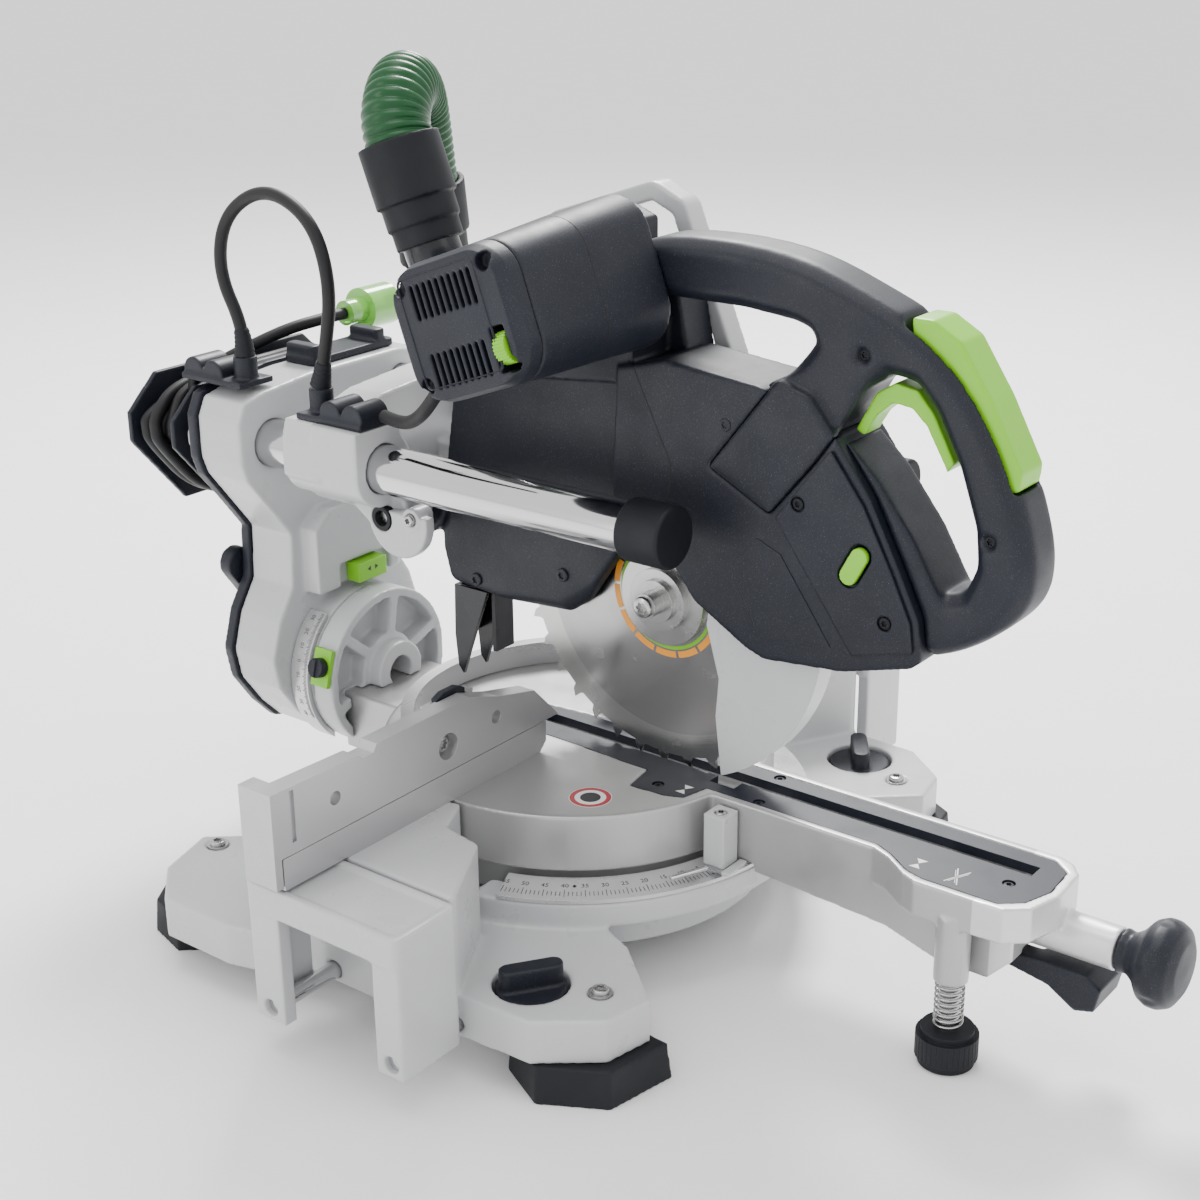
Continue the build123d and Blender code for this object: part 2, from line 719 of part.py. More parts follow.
# Mains lead: a short run over the column from the plug to the winding
lead_points = [(57.6, 244, 326), (36, 244.5, 326), (12, 252, 323), (-12, 266, 313), (-30, 279, 303)]
with BuildPart() as winding:
    with BuildSketch(front_plane(293.4)):
        Polygon(*winder_flange, align=None)
        offset(amount=-4, kind=Kind.INTERSECTION)
    extrude(amount=27)
    with BuildSketch(front_plane(295)):
        Polygon(*winder_flange, align=None)
        offset(amount=-28.7, kind=Kind.INTERSECTION)
    extrude(amount=30, mode=Mode.SUBTRACT)
save(winding.part, "mains_winding")

with BuildPart() as mains_lead:
    with BuildLine() as lead_line:
        FilletPolyline(*lead_points, radius=18)
    with BuildSketch(Plane(origin=lead_line.line @ 0, z_dir=lead_line.line % 0)):
        Circle(cord_r)
    sweep(path=lead_line.line)
    add(winding.part, mode=Mode.SUBTRACT)
save(mains_lead.part, "mains_lead")

with BuildPart() as plug:
    with Locations(Location((86, 244, 326), (0, 90, 0))):
        Cylinder(14.5, 26)
        with Locations((0, 0, -20.5)):
            Cylinder(8.5, 15)
        with Locations((0, 8.5, 22), (0, -8.5, 22)):
            Cylinder(2.4, 19)
save(plug.part, "mains_plug")

# ---------------------------------------------------------------- carriage
with BuildPart() as carriage:
    with BuildSketch(front_plane(165)):
        Polygon(
            (-80, 262), (-80, 284), (-76, 297), (-44, 297), (-20, 304), (60, 310), (82, 304), (86, 282),
            (76, 262), (40, 240), (-52, 240), align=None
        )
    extrude(amount=30)
    with Locations(Location((rail_x, 133.5, rail_z), (90, 0, 0))):
        Cylinder(24, 63)
    with Locations(Location((rail2_x, 133.5, rail2_z), (90, 0, 0))):
        Cylinder(19, 63)
    with BuildSketch(front_plane(140)):
        Polygon((-80, 276), (-80, 297), (-40, 297), (-40, 276), align=None)
    extrude(amount=38)
    # two cheeks that hold the chop hinge pin
    for x in (-50, 28):
        with BuildSketch(x_plane(x)):
            Polygon((140, 242), (140, 262), (112, 262), (92, 250), (90, 230), (100, 222), (112, 222),
                    align=None)
        extrude(amount=22)
    with Locations(Location((0, pivot_y, pivot_z), (0, 90, 0))):
        Cylinder(8, 104)
        Cylinder(4.5, 120, mode=Mode.SUBTRACT)
    with Locations(Location((rail_x, 130, rail_z), (90, 0, 0))):
        Cylinder(rail_r + 0.4, 120, mode=Mode.SUBTRACT)
    with Locations(Location((rail2_x, 130, rail2_z), (90, 0, 0))):
        Cylinder(rail2_r + 0.4, 120, mode=Mode.SUBTRACT)
save(carriage.part, "carriage")

with BuildPart() as stop_bracket:
    with BuildSketch(x_plane(-58)):
        with Locations((92, 240)):
            Circle(24)
        with Locations((92, 262)):
            Rectangle(60, 34, mode=Mode.SUBTRACT)
        with Locations((pivot_y, pivot_z)):
            Circle(8.2, mode=Mode.SUBTRACT)
        with Locations((80, 243)):
            Circle(4, mode=Mode.SUBTRACT)
    extrude(amount=7.6)
    with Locations(Location((-52, 80, 243), (0, 90, 0))):
        Cylinder(7, 14)
        Cylinder(4, 14, mode=Mode.SUBTRACT)
save(stop_bracket.part, "stop_bracket")

save(clip_row(-61, 102, carriage_clip_z, 1), "carriage_clip")

loop_points = [
    (-62, 212, 326.6), (-62.5, 210.5, 343), (-66, 226, 378), (-66, 216, 414), (-66, 178, 434),
    (-66, 140, 418), (-66, 128, 380), (-64, 138, 340), (-61, 147, 317),
]
with BuildPart() as cord_loop:
    with BuildLine() as loop_line:
        FilletPolyline(*loop_points, radius=17)
    with BuildSketch(Plane(origin=loop_line.line @ 0, z_dir=loop_line.line % 0)):
        Circle(cord_r)
    sweep(path=loop_line.line)
save(cord_loop.part, "cord_loop")

# ---------------------------------------------------------------- saw head
lobe_side = [
    (94, 236), (94, 210), (88, 187), (50, 184), (-3, 188), (-17, 198), (-46, 240), (-62, 252), (-70, 300),
    (-60, 346), (-20, 348), (40, 336), (82, 308),
]
body_side = [
    (-44, 262), (-50, 246), (-62, 248), (-88, 241), (-103, 222), (-138, 202), (-150, 198), (-200, 203),
    (-241, 215), (-247, 220), (-244, 243), (-231, 269), (-213, 303), (-191, 332), (-165, 346), (-143, 352),
    (-82, 358), (-50, 349),
]
grip_strip = [(-191, 333), (-180, 317), (-152, 283), (-112, 303), (-155, 358), (-175, 352)]

with BuildPart() as blade_housing:
    with BuildSketch(x_plane(-15.5)):
        Polygon(*lobe_side, align=None)
    extrude(amount=31)
    low = [e for e in blade_housing.edges() if e.center().Z < 197 and abs(abs(e.center().X) - 15.5) < 0.1]
    fillet(low, 9.0)
    with BuildSketch(x_plane(-24)):
        Polygon(*body_side, align=None)
    extrude(amount=48)
    # saddle under the motor and gear case on the right
    with BuildSketch(x_plane(-22)):
        Polygon((-58, 340), (-60, 372), (20, 372), (36, 350), (40, 330), align=None)
    extrude(amount=44)
    with BuildSketch(x_plane(11)):
        with Locations((blade_y, blade_z)):
            Circle(40)
        Polygon((-100, 222), (-30, 222), (-8, 400), (-64, 400), align=None)
    extrude(amount=27)
    # blade slot and the wider space for the swinging guard
    with Locations(Location((0, blade_y, blade_z), (0, 90, 0))):
        Cylinder(blade_r + 3, 9, mode=Mode.SUBTRACT)
    with BuildSketch(x_plane(-9.5)):
        with Locations((blade_y, blade_z)):
            Circle(117)
        with Locations((100, 260)):
            Rectangle(284, 400, mode=Mode.SUBTRACT)
    extrude(amount=19, mode=Mode.SUBTRACT)
    with Locations(Location((-20, blade_y, blade_z), (0, 90, 0))):
        Cylinder(33, 40, mode=Mode.SUBTRACT)
    # bore of the chop hinge pin and room for its cheeks
    with Locations(Location((0, pivot_y, pivot_z), (0, 90, 0))):
        Cylinder(19, 44)
    with BuildSketch(x_plane(-15.5)):
        Polygon((84, 222), (92, 222), (112, 224), (112, 252), (92, 262), (80, 262), align=None)
    extrude(amount=31)
    with Locations(Location((0, pivot_y, pivot_z), (0, 90, 0))):
        Cylinder(8.08, 60, mode=Mode.SUBTRACT)
    # seats of the handle strip
    with BuildSketch(x_plane(-30)):
        Polygon(*grip_strip, align=None)
    extrude(amount=12, mode=Mode.SUBTRACT)
    with BuildSketch(x_plane(18)):
        Polygon(*grip_strip, align=None)
    extrude(amount=12, mode=Mode.SUBTRACT)
    # seat of the light button
    with BuildSketch(x_plane(-25)):
        with Locations(Location((-207, 266), 28)):
            SlotOverall(24, 11, rotation=90)
    extrude(amount=3.2, mode=Mode.SUBTRACT)
save(blade_housing.part, "blade_housing")

handle_hole = [
    (-189, 334), (-202, 357), (-216, 367), (-231, 365), (-243, 352), (-257, 326), (-268, 295), (-270, 275),
    (-264, 260), (-252, 257), (-236, 284), (-213, 313),
]
grip_shape = [
    (-226, 398), (-238, 398), (-254, 389), (-273, 361), (-291, 328), (-290, 318), (-280, 316), (-264, 346),
    (-248, 370), (-227, 387),
]
grip_pocket = [
    (-221, 402), (-240, 412), (-268, 392), (-300, 340), (-291, 317), (-280, 314), (-259, 343), (-243, 366),
    (-223, 382),
]
trigger_shape = [
    (-194, 334), (-205, 355), (-216, 362), (-229, 360), (-239, 349), (-252, 325), (-248, 320), (-235, 342),
    (-226, 350), (-215, 351), (-206, 343), (-199, 331),
]
trigger_pocket = [
    (-208, 352), (-214, 371), (-236, 371), (-249, 355), (-263, 326), (-254, 318), (-236, 342), (-226, 350),
    (-214, 352),
]

with BuildPart() as main_handle:
    with BuildSketch(x_plane(-19)):
        with BuildLine():
            Polyline((-155, 358), (-166, 371), (-171, 378), (-168, 384), (-158, 387), (-126, 390), (-72, 390),
                     (-49, 388), (-49, 412))
            Spline((-49, 412), (-66, 420.5), (-97, 424.5), (-130, 424), (-168, 418), (-200, 407), (-228, 395),
                   (-251, 379), (-274, 352), (-288, 326), (-298, 299), (-302, 278), (-299, 259), (-283, 240),
                   (-264, 227), (-247, 220))
            Polyline((-247, 220), (-244, 243), (-231, 269), (-213, 303), (-191, 332), (-165, 346),
                     (-143, 352), (-155, 358))
        make_face()
        Polygon(*handle_hole, align=None, mode=Mode.SUBTRACT)
    extrude(amount=38)
    rim = [e for e in main_handle.edges()
           if abs(abs(e.center().X) - 19) < 0.1 and not (e.center().Y > -250 and e.center().Z < 356)]
    chamfer(rim, 7.0)
    with BuildSketch(x_plane(-25.5)):
        Polygon(*grip_strip, align=None)
    extrude(amount=7.5)
    with BuildSketch(x_plane(18)):
        Polygon(*grip_strip, align=None)
    extrude(amount=7.5)
    with BuildSketch(x_plane(-13.5)):
        Polygon(*grip_pocket, align=None)
    extrude(amount=27, mode=Mode.SUBTRACT)
    with BuildSketch(x_plane(-8.8)):
        Polygon(*trigger_pocket, align=None)
    extrude(amount=17.6, mode=Mode.SUBTRACT)
    add(blade_housing.part, mode=Mode.SUBTRACT)
    # screw wells on the left face
    for y, z in [(-71, 401), (-202, 376), (-278, 291)]:
        with Locations(Location((-20, y, z), (0, 90, 0))):
            Cylinder(4.0, 14, mode=Mode.SUBTRACT)
save(main_handle.part, "main_handle")

with BuildPart() as grip_lever:
    with BuildSketch(x_plane(-12.5)):
        Polygon(*grip_shape, align=None)
    extrude(amount=25)
save(grip_lever.part, "grip_lever")

with BuildPart() as trigger:
    with BuildSketch(x_plane(-8)):
        Polygon(*trigger_shape, align=None)
    extrude(amount=16)
save(trigger.part, "trigger")

side_cover_shape = [
    (-157, 283), (-181, 314), (-190, 326), (-211, 299), (-229, 266), (-241, 241), (-243, 225), (-207, 215),
]
with BuildPart() as side_cover:
    with BuildSketch(x_plane(-26.5)):
        Polygon(*side_cover_shape, align=None)
        with Locations(Location((-207, 266), 28)):
            SlotOverall(27, 13, rotation=90, mode=Mode.SUBTRACT)
        with Locations((-171, 293), (-226, 238)):
            Circle(4.2, mode=Mode.SUBTRACT)
    extrude(amount=2.5)
save(side_cover.part, "side_cover")

with BuildPart() as led_button:
    with BuildSketch(x_plane(-28)):
        with Locations(Location((-207, 266), 28)):
            SlotOverall(23, 10, rotation=90)
    extrude(amount=3.8)
save(led_button.part, "led_button")

# ---------------------------------------------------------------- motor
motor_tilt = -20.0


def motor_section(x, y, z, width, height, radius):
    """Rounded square section of the motor barrel at one x."""
    with BuildSketch(x_plane(x)) as section:
        with Locations(Location((y, z), motor_tilt)):
            RectangleRounded(width, height, radius)
    return section.sketch


with BuildPart() as motor_body:
    add(motor_section(-112, -25, 388.5, 82, 76, 21))
    add(motor_section(-66, -29, 391.5, 87, 80, 22))
    add(motor_section(-20, -34, 395, 92, 85, 24))
    loft(ruled=True)
    with BuildSketch(x_plane(-20)):
        Polygon((-46, 380), (-46, 426), (-30, 432), (6, 412), (20, 385), (18, 376), (-46, 376), align=None)
    extrude(amount=42)
    add(blade_housing.part, mode=Mode.SUBTRACT)
save(motor_body.part, "motor_body")

slot_spots = [(-24 + 4.7 * i, 17) for i in range(10)] + [(-20 + 4.7 * i, -20) for i in range(9)]
with BuildPart() as motor_cap:
    add(motor_section(-128, -24, 388, 76, 70, 18))
    add(motor_section(-121, -24.5, 388.3, 81, 75, 21))
    loft(ruled=True)
    add(motor_section(-121, -24.5, 388.3, 81, 75, 21))
    add(motor_section(-112.2, -25, 388.5, 82, 76, 21))
    loft(ruled=True)
    with BuildSketch(x_plane(-129)):
        with Locations(Location((-20, 387), motor_tilt)):
            with Locations(*slot_spots):
                SlotOverall(19, 2.4, rotation=90)
    extrude(amount=7, mode=Mode.SUBTRACT)
    with BuildSketch(x_plane(-129)):
        with Locations(Location((-24, 388), motor_tilt)):
            with Locations((-31, 27), (-31, -26), (31, -26), (31, 27)):
                Circle(4.6)
    extrude(amount=8, mode=Mode.SUBTRACT)
    with Locations(Location((-121.1, -56, 381), (motor_tilt, 0, 0))):
        Box(22, 10, 24, mode=Mode.SUBTRACT)
save(motor_cap.part, "motor_cap")

with BuildPart() as speed_dial:
    with Locations(Location((-121.4, -56, 381), (motor_tilt, 0, 0))):
        with Locations(Location((0, 0, 0), (90, 0, 0))):
            Cylinder(9.0, 8)
save(speed_dial.part, "speed_dial")

lead_in_points = [(-62, 94, 306), (-66, 76, 305), (-72, 58, 312), (-76, 42, 326), (-78, 26, 346)]
with BuildPart() as motor_lead:
    with BuildLine() as lead_in:
        FilletPolyline(*lead_in_points, radius=14)
    with BuildSketch(Plane(origin=lead_in.line @ 0, z_dir=lead_in.line % 0)):
        Circle(cord_r)
    sweep(path=lead_in.line)
    add(motor_body.part, mode=Mode.SUBTRACT)
save(motor_lead.part, "motor_lead")

with BuildPart() as carry_loop:
    with BuildSketch(x_plane(37)):
        with BuildLine():
            FilletPolyline((46, 334), (48, 416), (-30, 442), (-52, 432), (-92, 336), radius=9)
            Polyline((-92, 336), (-60, 330), (46, 334))
        make_face()
        offset(amount=-11, mode=Mode.SUBTRACT)
    extrude(amount=16)
    with BuildSketch(x_plane(24)):
        Polygon((-40, 352), (0, 352), (0, 392), (-40, 392), align=None)
    extrude(amount=29)
    add(blade_housing.part, mode=Mode.SUBTRACT)
save(carry_loop.part, "carry_loop")

# ---------------------------------------------------------------- dust port, cuff and hose
port_foot = Vector(-6, 64, 322)
port_mid = Vector(-18, 90, 398)
cuff_axis = Vector(-0.02, 0.35, 0.937).normalized()

with BuildPart() as dust_elbow:
    with BuildLine() as port_line:
        Polyline(tuple(port_foot), tuple(port_mid), tuple(port_mid + cuff_axis * 20))
    with BuildSketch(Plane(origin=port_foot, z_dir=port_mid - port_foot)):
        Circle(17)
    sweep(path=port_line.line, transition=Transition.ROUND)
    add(blade_housing.part, mode=Mode.SUBTRACT)
    add(motor_body.part, mode=Mode.SUBTRACT)
save(dust_elbow.part, "dust_elbow")


def along_cuff(start, length):
    """Location centred on a stretch of the cuff axis."""
    middle = port_mid + cuff_axis * (start + length / 2)
    return Plane(origin=middle, z_dir=cuff_axis).location


hose_r = 20.5
hose_start = port_mid + cuff_axis * 53
hose_bend = 34.0
away = Vector(0.86, 0.51, 0).normalized()
first_bend = hose_start + cuff_axis * 20
bend_centre = first_bend - away * (hose_bend * cos(radians(160)))
bend_centre = bend_centre - Vector(0, 0, hose_bend * sin(radians(160)))
hose_points = [tuple(hose_start)]
for angle in (160, 122, 84, 46, 8):
    turn = radians(angle)
    point = bend_centre + away * (hose_bend * cos(turn)) + Vector(0, 0, hose_bend * sin(turn))
    hose_points.append(tuple(point))
hose_end = Vector(*hose_points[-1]) + Vector(7, 2, -40)
hose_points.append(tuple(hose_end))

with BuildPart() as dust_hose:
    with BuildLine() as hose_line:
        FilletPolyline(*hose_points, radius=11)
    with BuildSketch(Plane(origin=hose_line.line @ 0, z_dir=hose_line.line % 0)):
        Circle(hose_r)
    sweep(path=hose_line.line)
save(dust_hose.part, "dust_hose")

with BuildPart() as hose_cuff:
    with Locations(along_cuff(4, 12)):
        Cylinder(20.5, 12)
    with Locations(along_cuff(16, 14)):
        Cylinder(22.3, 14)
    with Locations(along_cuff(30, 36)):
        Cylinder(24.6, 36)
    with Locations(along_cuff(2, 18)):
        Cylinder(17, 18, mode=Mode.SUBTRACT)
    with Locations(along_cuff(52, 20)):
        Cylinder(20.8, 20, mode=Mode.SUBTRACT)
    with Locations(along_cuff(10, 60)):
        Cylinder(14, 60, mode=Mode.SUBTRACT)
    # matching cuff on the free end
    with Locations(Plane(origin=hose_line.line @ 1, z_dir=hose_line.line % 1).location):
        with Locations((0, 0, 10)):
            Cylinder(24.6, 32)
            Cylinder(20.7, 32, mode=Mode.SUBTRACT)
        with Locations((0, 0, 36)):
            Cylinder(22.3, 20)
            Cylinder(16, 20, mode=Mode.SUBTRACT)
        with Locations((0, 0, 23)):
            Cylinder(24.6, 6)
            Cylinder(16, 6, mode=Mode.SUBTRACT)
save(hose_cuff.part, "hose_cuffs")

# ---------------------------------------------------------------- chip deflector, blade, guard
with BuildPart() as chip_deflector:
    with BuildSketch(x_plane(-12)):
        Polygon((89, 186), (90, 152), (88, 131), (84, 126), (77, 146), (62, 186), align=None)
    extrude(amount=2.5)
    with BuildSketch(x_plane(9.5)):
        Polygon((89, 186), (90, 152), (88, 131), (84, 126), (77, 146), (62, 186), align=None)
    extrude(amount=2.5)
    with BuildSketch(Plane.XY.offset(150)):
        with Locations((0, 88)):
            Rectangle(22, 2.5)
    extrude(amount=36)
    add(blade_housing.part, mode=Mode.SUBTRACT)
save(chip_deflector.part, "chip_deflector")

with BuildPart() as chip_flap:
    with BuildSketch(Plane.XY.offset(146)):
        with Locations((0, 60)):
            Rectangle(17, 3)
    extrude(amount=46)
    add(blade_housing.part, mode=Mode.SUBTRACT)
save(chip_flap.part, "chip_flap")

tooth_count = 36
with BuildPart() as saw_blade:
    with BuildSketch(x_plane(-blade_t / 2, blade_y, blade_z)):
        Circle(blade_r - 7)
        with PolarLocations(0, tooth_count):
            Polygon((blade_r - 9, -3.5), (blade_r - 9, 6.5), (blade_r - 3.4, 4.6), (blade_r, 0.4),
                    (blade_r - 5.2, -0.8), align=None)
        Circle(4, mode=Mode.SUBTRACT)
    extrude(amount=blade_t)
save(saw_blade.part, "saw_blade")

with BuildPart() as blade_flange:
    with Locations(Location((-3.4, blade_y, blade_z), (0, 90, 0))):
        Cylinder(29, 5)
    with Locations(Location((-8.4, blade_y, blade_z), (0, 90, 0))):
        Cylinder(19, 5)
    with Locations(Location((-12.4, blade_y, blade_z), (0, 90, 0))):
        Cylinder(13, 3)
    with Locations(Location((-18.4, blade_y, blade_z), (0, 90, 0))):
        Cylinder(7.5, 9)
    with Locations(Location((-22, blade_y, blade_z), (0, 90, 0))):
        Cylinder(3.2, 6, mode=Mode.SUBTRACT)
    with Locations(Location((4.9, blade_y, blade_z), (0, 90, 0))):
        Cylinder(24, 8)
    with Locations(Location((0, blade_y, blade_z), (0, 90, 0))):
        Cylinder(4, 14)
save(blade_flange.part, "blade_flange")

guard_r = 110.2
with BuildPart() as lower_guard:
    for x in (-7.6, 6.2):
        with BuildSketch(x_plane(x, blade_y, blade_z)):
            Circle(guard_r)
            Circle(34, mode=Mode.SUBTRACT)
            # only the sector between the front edge and the straight rear edge stays
            Polygon((200, -200), (-42, -40), (-40, -64), (-56, -200), align=None, mode=Mode.SUBTRACT)
            Polygon((200, -200), (200, 200), (-40, 200), (-24, 24), (-42, -40), align=None,
                    mode=Mode.SUBTRACT)
        extrude(amount=1.4)
    with BuildSketch(x_plane(-7.6, blade_y, blade_z)):
        Circle(guard_r)
        Circle(guard_r - 1.6, mode=Mode.SUBTRACT)
        Polygon((200, -200), (-42, -40), (-40, -64), (-56, -200), align=None, mode=Mode.SUBTRACT)
        Polygon((200, -200), (200, 200), (-40, 200), (-24, 24), (-42, -40), align=None, mode=Mode.SUBTRACT)
    extrude(amount=15.2)
save(lower_guard.part, "lower_guard")
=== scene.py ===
import json
import math

import bmesh
import bpy
from mathutils import Matrix, Vector


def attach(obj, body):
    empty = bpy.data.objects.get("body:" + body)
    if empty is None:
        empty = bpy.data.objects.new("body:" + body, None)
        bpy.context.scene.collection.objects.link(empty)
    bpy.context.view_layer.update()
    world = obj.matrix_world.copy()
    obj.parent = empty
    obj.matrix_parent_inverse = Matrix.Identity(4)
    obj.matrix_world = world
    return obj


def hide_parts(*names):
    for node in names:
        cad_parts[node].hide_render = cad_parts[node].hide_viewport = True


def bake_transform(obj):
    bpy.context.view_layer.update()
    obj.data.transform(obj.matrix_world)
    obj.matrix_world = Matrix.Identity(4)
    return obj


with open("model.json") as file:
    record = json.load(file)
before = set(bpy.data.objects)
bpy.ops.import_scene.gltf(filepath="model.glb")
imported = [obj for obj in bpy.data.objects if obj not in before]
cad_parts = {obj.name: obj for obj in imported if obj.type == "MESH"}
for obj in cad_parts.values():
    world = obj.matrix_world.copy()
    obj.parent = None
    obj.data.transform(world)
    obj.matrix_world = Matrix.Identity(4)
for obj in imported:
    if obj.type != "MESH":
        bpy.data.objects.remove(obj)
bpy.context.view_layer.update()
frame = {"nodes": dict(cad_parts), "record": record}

MM = 0.001
X_AXIS, Y_AXIS, Z_AXIS = Vector((1, 0, 0)), Vector((0, 1, 0)), Vector((0, 0, 1))

# ---------------------------------------------------------------- camera
CAMERA_PLACE = Vector((-0.8584, -0.6872, 0.6171))
CAMERA_AIM = Vector((-0.2005, -0.1697, 0.2916))
CAMERA_ROLL = math.radians(-0.72)
camera_data = bpy.data.cameras.new("camera")
camera_data.lens = 58.19
camera_data.sensor_width = 36.0
camera_data.shift_x = 0.0063
camera_data.shift_y = 0.0026
camera = bpy.data.objects.new("camera", camera_data)
bpy.context.scene.collection.objects.link(camera)
camera.location = CAMERA_PLACE
camera.rotation_mode = "QUATERNION"
camera.rotation_quaternion = ((CAMERA_AIM - CAMERA_PLACE).to_track_quat("-Z", "Y")
                              @ Matrix.Rotation(CAMERA_ROLL, 4, "Z").to_quaternion())
bpy.context.scene.camera = camera


# ---------------------------------------------------------------- lights
def area_light(name, place, target, size, power):
    data = bpy.data.lights.new(name, "AREA")
    data.shape = "RECTANGLE"
    data.size, data.size_y = size
    data.energy = power
    lamp = bpy.data.objects.new(name, data)
    lamp.location = place
    lamp.rotation_mode = "QUATERNION"
    lamp.rotation_quaternion = (Vector(target) - Vector(place)).to_track_quat("-Z", "Y")
    bpy.context.scene.collection.objects.link(lamp)


area_light("key", (1.25, 0.75, 1.75), (0, 0, 0.2), (0.7, 0.7), 80)
area_light("left_box", (-1.9, 0.9, 0.9), (0, 0, 0.25), (0.5, 1.6), 9)
area_light("front_box", (0.2, -2.3, 1.3), (0, 0, 0.15), (1.2, 0.6), 3)
area_light("top_box", (-0.3, 0.2, 2.2), (0, 0, 0), (1.0, 1.0), 12)

world = bpy.data.worlds.new("studio")
world.use_nodes = True
world.node_tree.nodes["Background"].inputs["Color"].default_value = (1.0, 1.0, 1.0, 1.0)
world.node_tree.nodes["Background"].inputs["Strength"].default_value = 1.45
bpy.context.scene.world = world


# ---------------------------------------------------------------- materials
GRAIN_DEPTH = 0.0002
RING_BLUR = 0.0002


def finish_material(name, colour, roughness, metallic=0.0, grain=900.0, bump=0.06, spread=0.06,
                    rough_spread=0.08, stretch=(1, 1, 1), speck=None, edge_wear_and_highlight=None, rings=None,
                    edge=0.0005, specular=0.5, coat=0.0, transmission=0.0):
    """Procedural finish: large soft variation, fine grain in the bump, edges rounded by the edge radius.

    speck is (noise scale, colour, strength); the edge pair is (colour, strength) that lightens edges, partly
    as wear and partly as a painted edge highlight; rings are turned marks round an axis, with another colour
    outside one radius.
    """
    material = bpy.data.materials.new(name)
    material.use_nodes = True
    nodes = material.node_tree.nodes
    links = material.node_tree.links
    shader = nodes["Principled BSDF"]
    coords = nodes.new("ShaderNodeTexCoord")
    mapping = nodes.new("ShaderNodeMapping")
    mapping.inputs["Scale"].default_value = stretch
    links.new(coords.outputs["Object"], mapping.inputs["Vector"])

    def noise(scale, detail, source):
        node = nodes.new("ShaderNodeTexNoise")
        node.inputs["Scale"].default_value = scale
        node.inputs["Detail"].default_value = detail
        links.new(source, node.inputs["Vector"])
        return node.outputs["Fac"]

    def remap(value, low, high, out_low, out_high):
        node = nodes.new("ShaderNodeMapRange")
        node.inputs["From Min"].default_value = low
        node.inputs["From Max"].default_value = high
        node.inputs["To Min"].default_value = out_low
        node.inputs["To Max"].default_value = out_high
        links.new(value, node.inputs["Value"])
        return node.outputs["Result"]

    def mix(factor, first, second):
        node = nodes.new("ShaderNodeMix")
        node.data_type = "RGBA"
        links.new(factor, node.inputs["Factor"])
        for socket, value in ((node.inputs[6], first), (node.inputs[7], second)):
            if isinstance(value, tuple):
                socket.default_value = (*value, 1.0)
            else:
                links.new(value, socket)
        return node.outputs[2]

    cloud = noise(14.0, 4.0, coords.outputs["Object"])
    fine = noise(grain, 3.0, mapping.outputs["Vector"])
    dark = tuple(c * (1 - spread) for c in colour)
    light = tuple(min(1.0, c * (1 + spread)) for c in colour)
    tint = mix(remap(cloud, 0.3, 0.7, 0.0, 1.0), dark, light)
    if speck:
        speck_scale, speck_colour, speck_strength = speck
        spots = remap(noise(speck_scale, 2.0, coords.outputs["Object"]), 0.62, 0.75, 0.0, speck_strength)
        tint = mix(spots, tint, speck_colour)
    bevel = nodes.new("ShaderNodeBevel")
    bevel.samples = 4
    bevel.inputs["Radius"].default_value = edge
    # edges get a lighter colour: partly wear, partly a painted edge highlight standing in for light caught by
    # the rounded edges
    if edge_wear_and_highlight:
        edge_wear_highlight_colour, edge_wear_highlight_strength = edge_wear_and_highlight
        geometry = nodes.new("ShaderNodeNewGeometry")
        dot = nodes.new("ShaderNodeVectorMath")
        dot.operation = "DOT_PRODUCT"
        links.new(bevel.outputs["Normal"], dot.inputs[0])
        links.new(geometry.outputs["Normal"], dot.inputs[1])
        rubbed_and_highlit = remap(dot.outputs["Value"], 0.995, 0.80, 0.0, edge_wear_highlight_strength)
        tint = mix(rubbed_and_highlit, tint, edge_wear_highlight_colour)
    if rings:
        centre = nodes.new("ShaderNodeMapping")
        centre.inputs["Location"].default_value = rings["shift"]
        centre.inputs["Scale"].default_value = rings["flatten"]
        links.new(coords.outputs["Object"], centre.inputs["Vector"])
        length = nodes.new("ShaderNodeVectorMath")
        length.operation = "LENGTH"
        links.new(centre.outputs["Vector"], length.inputs[0])
        band = remap(length.outputs["Value"], rings["edge"] - RING_BLUR, rings["edge"] + RING_BLUR, 0.0, 1.0)
        tint = mix(band, tint, rings["colour"])
        wave = nodes.new("ShaderNodeTexNoise")
        wave.noise_dimensions = "1D"
        wave.inputs["Scale"].default_value = rings["pitch"]
        wave.inputs["Detail"].default_value = 2.0
        links.new(length.outputs["Value"], wave.inputs["W"])
        fine = wave.outputs["Fac"]
    links.new(tint, shader.inputs["Base Color"])
    relief = nodes.new("ShaderNodeBump")
    relief.inputs["Strength"].default_value = bump
    relief.inputs["Distance"].default_value = GRAIN_DEPTH
    links.new(fine, relief.inputs["Height"])
    links.new(bevel.outputs["Normal"], relief.inputs["Normal"])
    links.new(relief.outputs["Normal"], shader.inputs["Normal"])
    smudges = noise(40.0, 5.0, mapping.outputs["Vector"])
    rough = remap(smudges, 0.3, 0.7, max(0.02, roughness - rough_spread), roughness + rough_spread)
    links.new(rough, shader.inputs["Roughness"])
    shader.inputs["Metallic"].default_value = metallic
    shader.inputs["Specular IOR Level"].default_value = specular
    shader.inputs["Coat Weight"].default_value = coat
    shader.inputs["Transmission Weight"].default_value = transmission
    return material


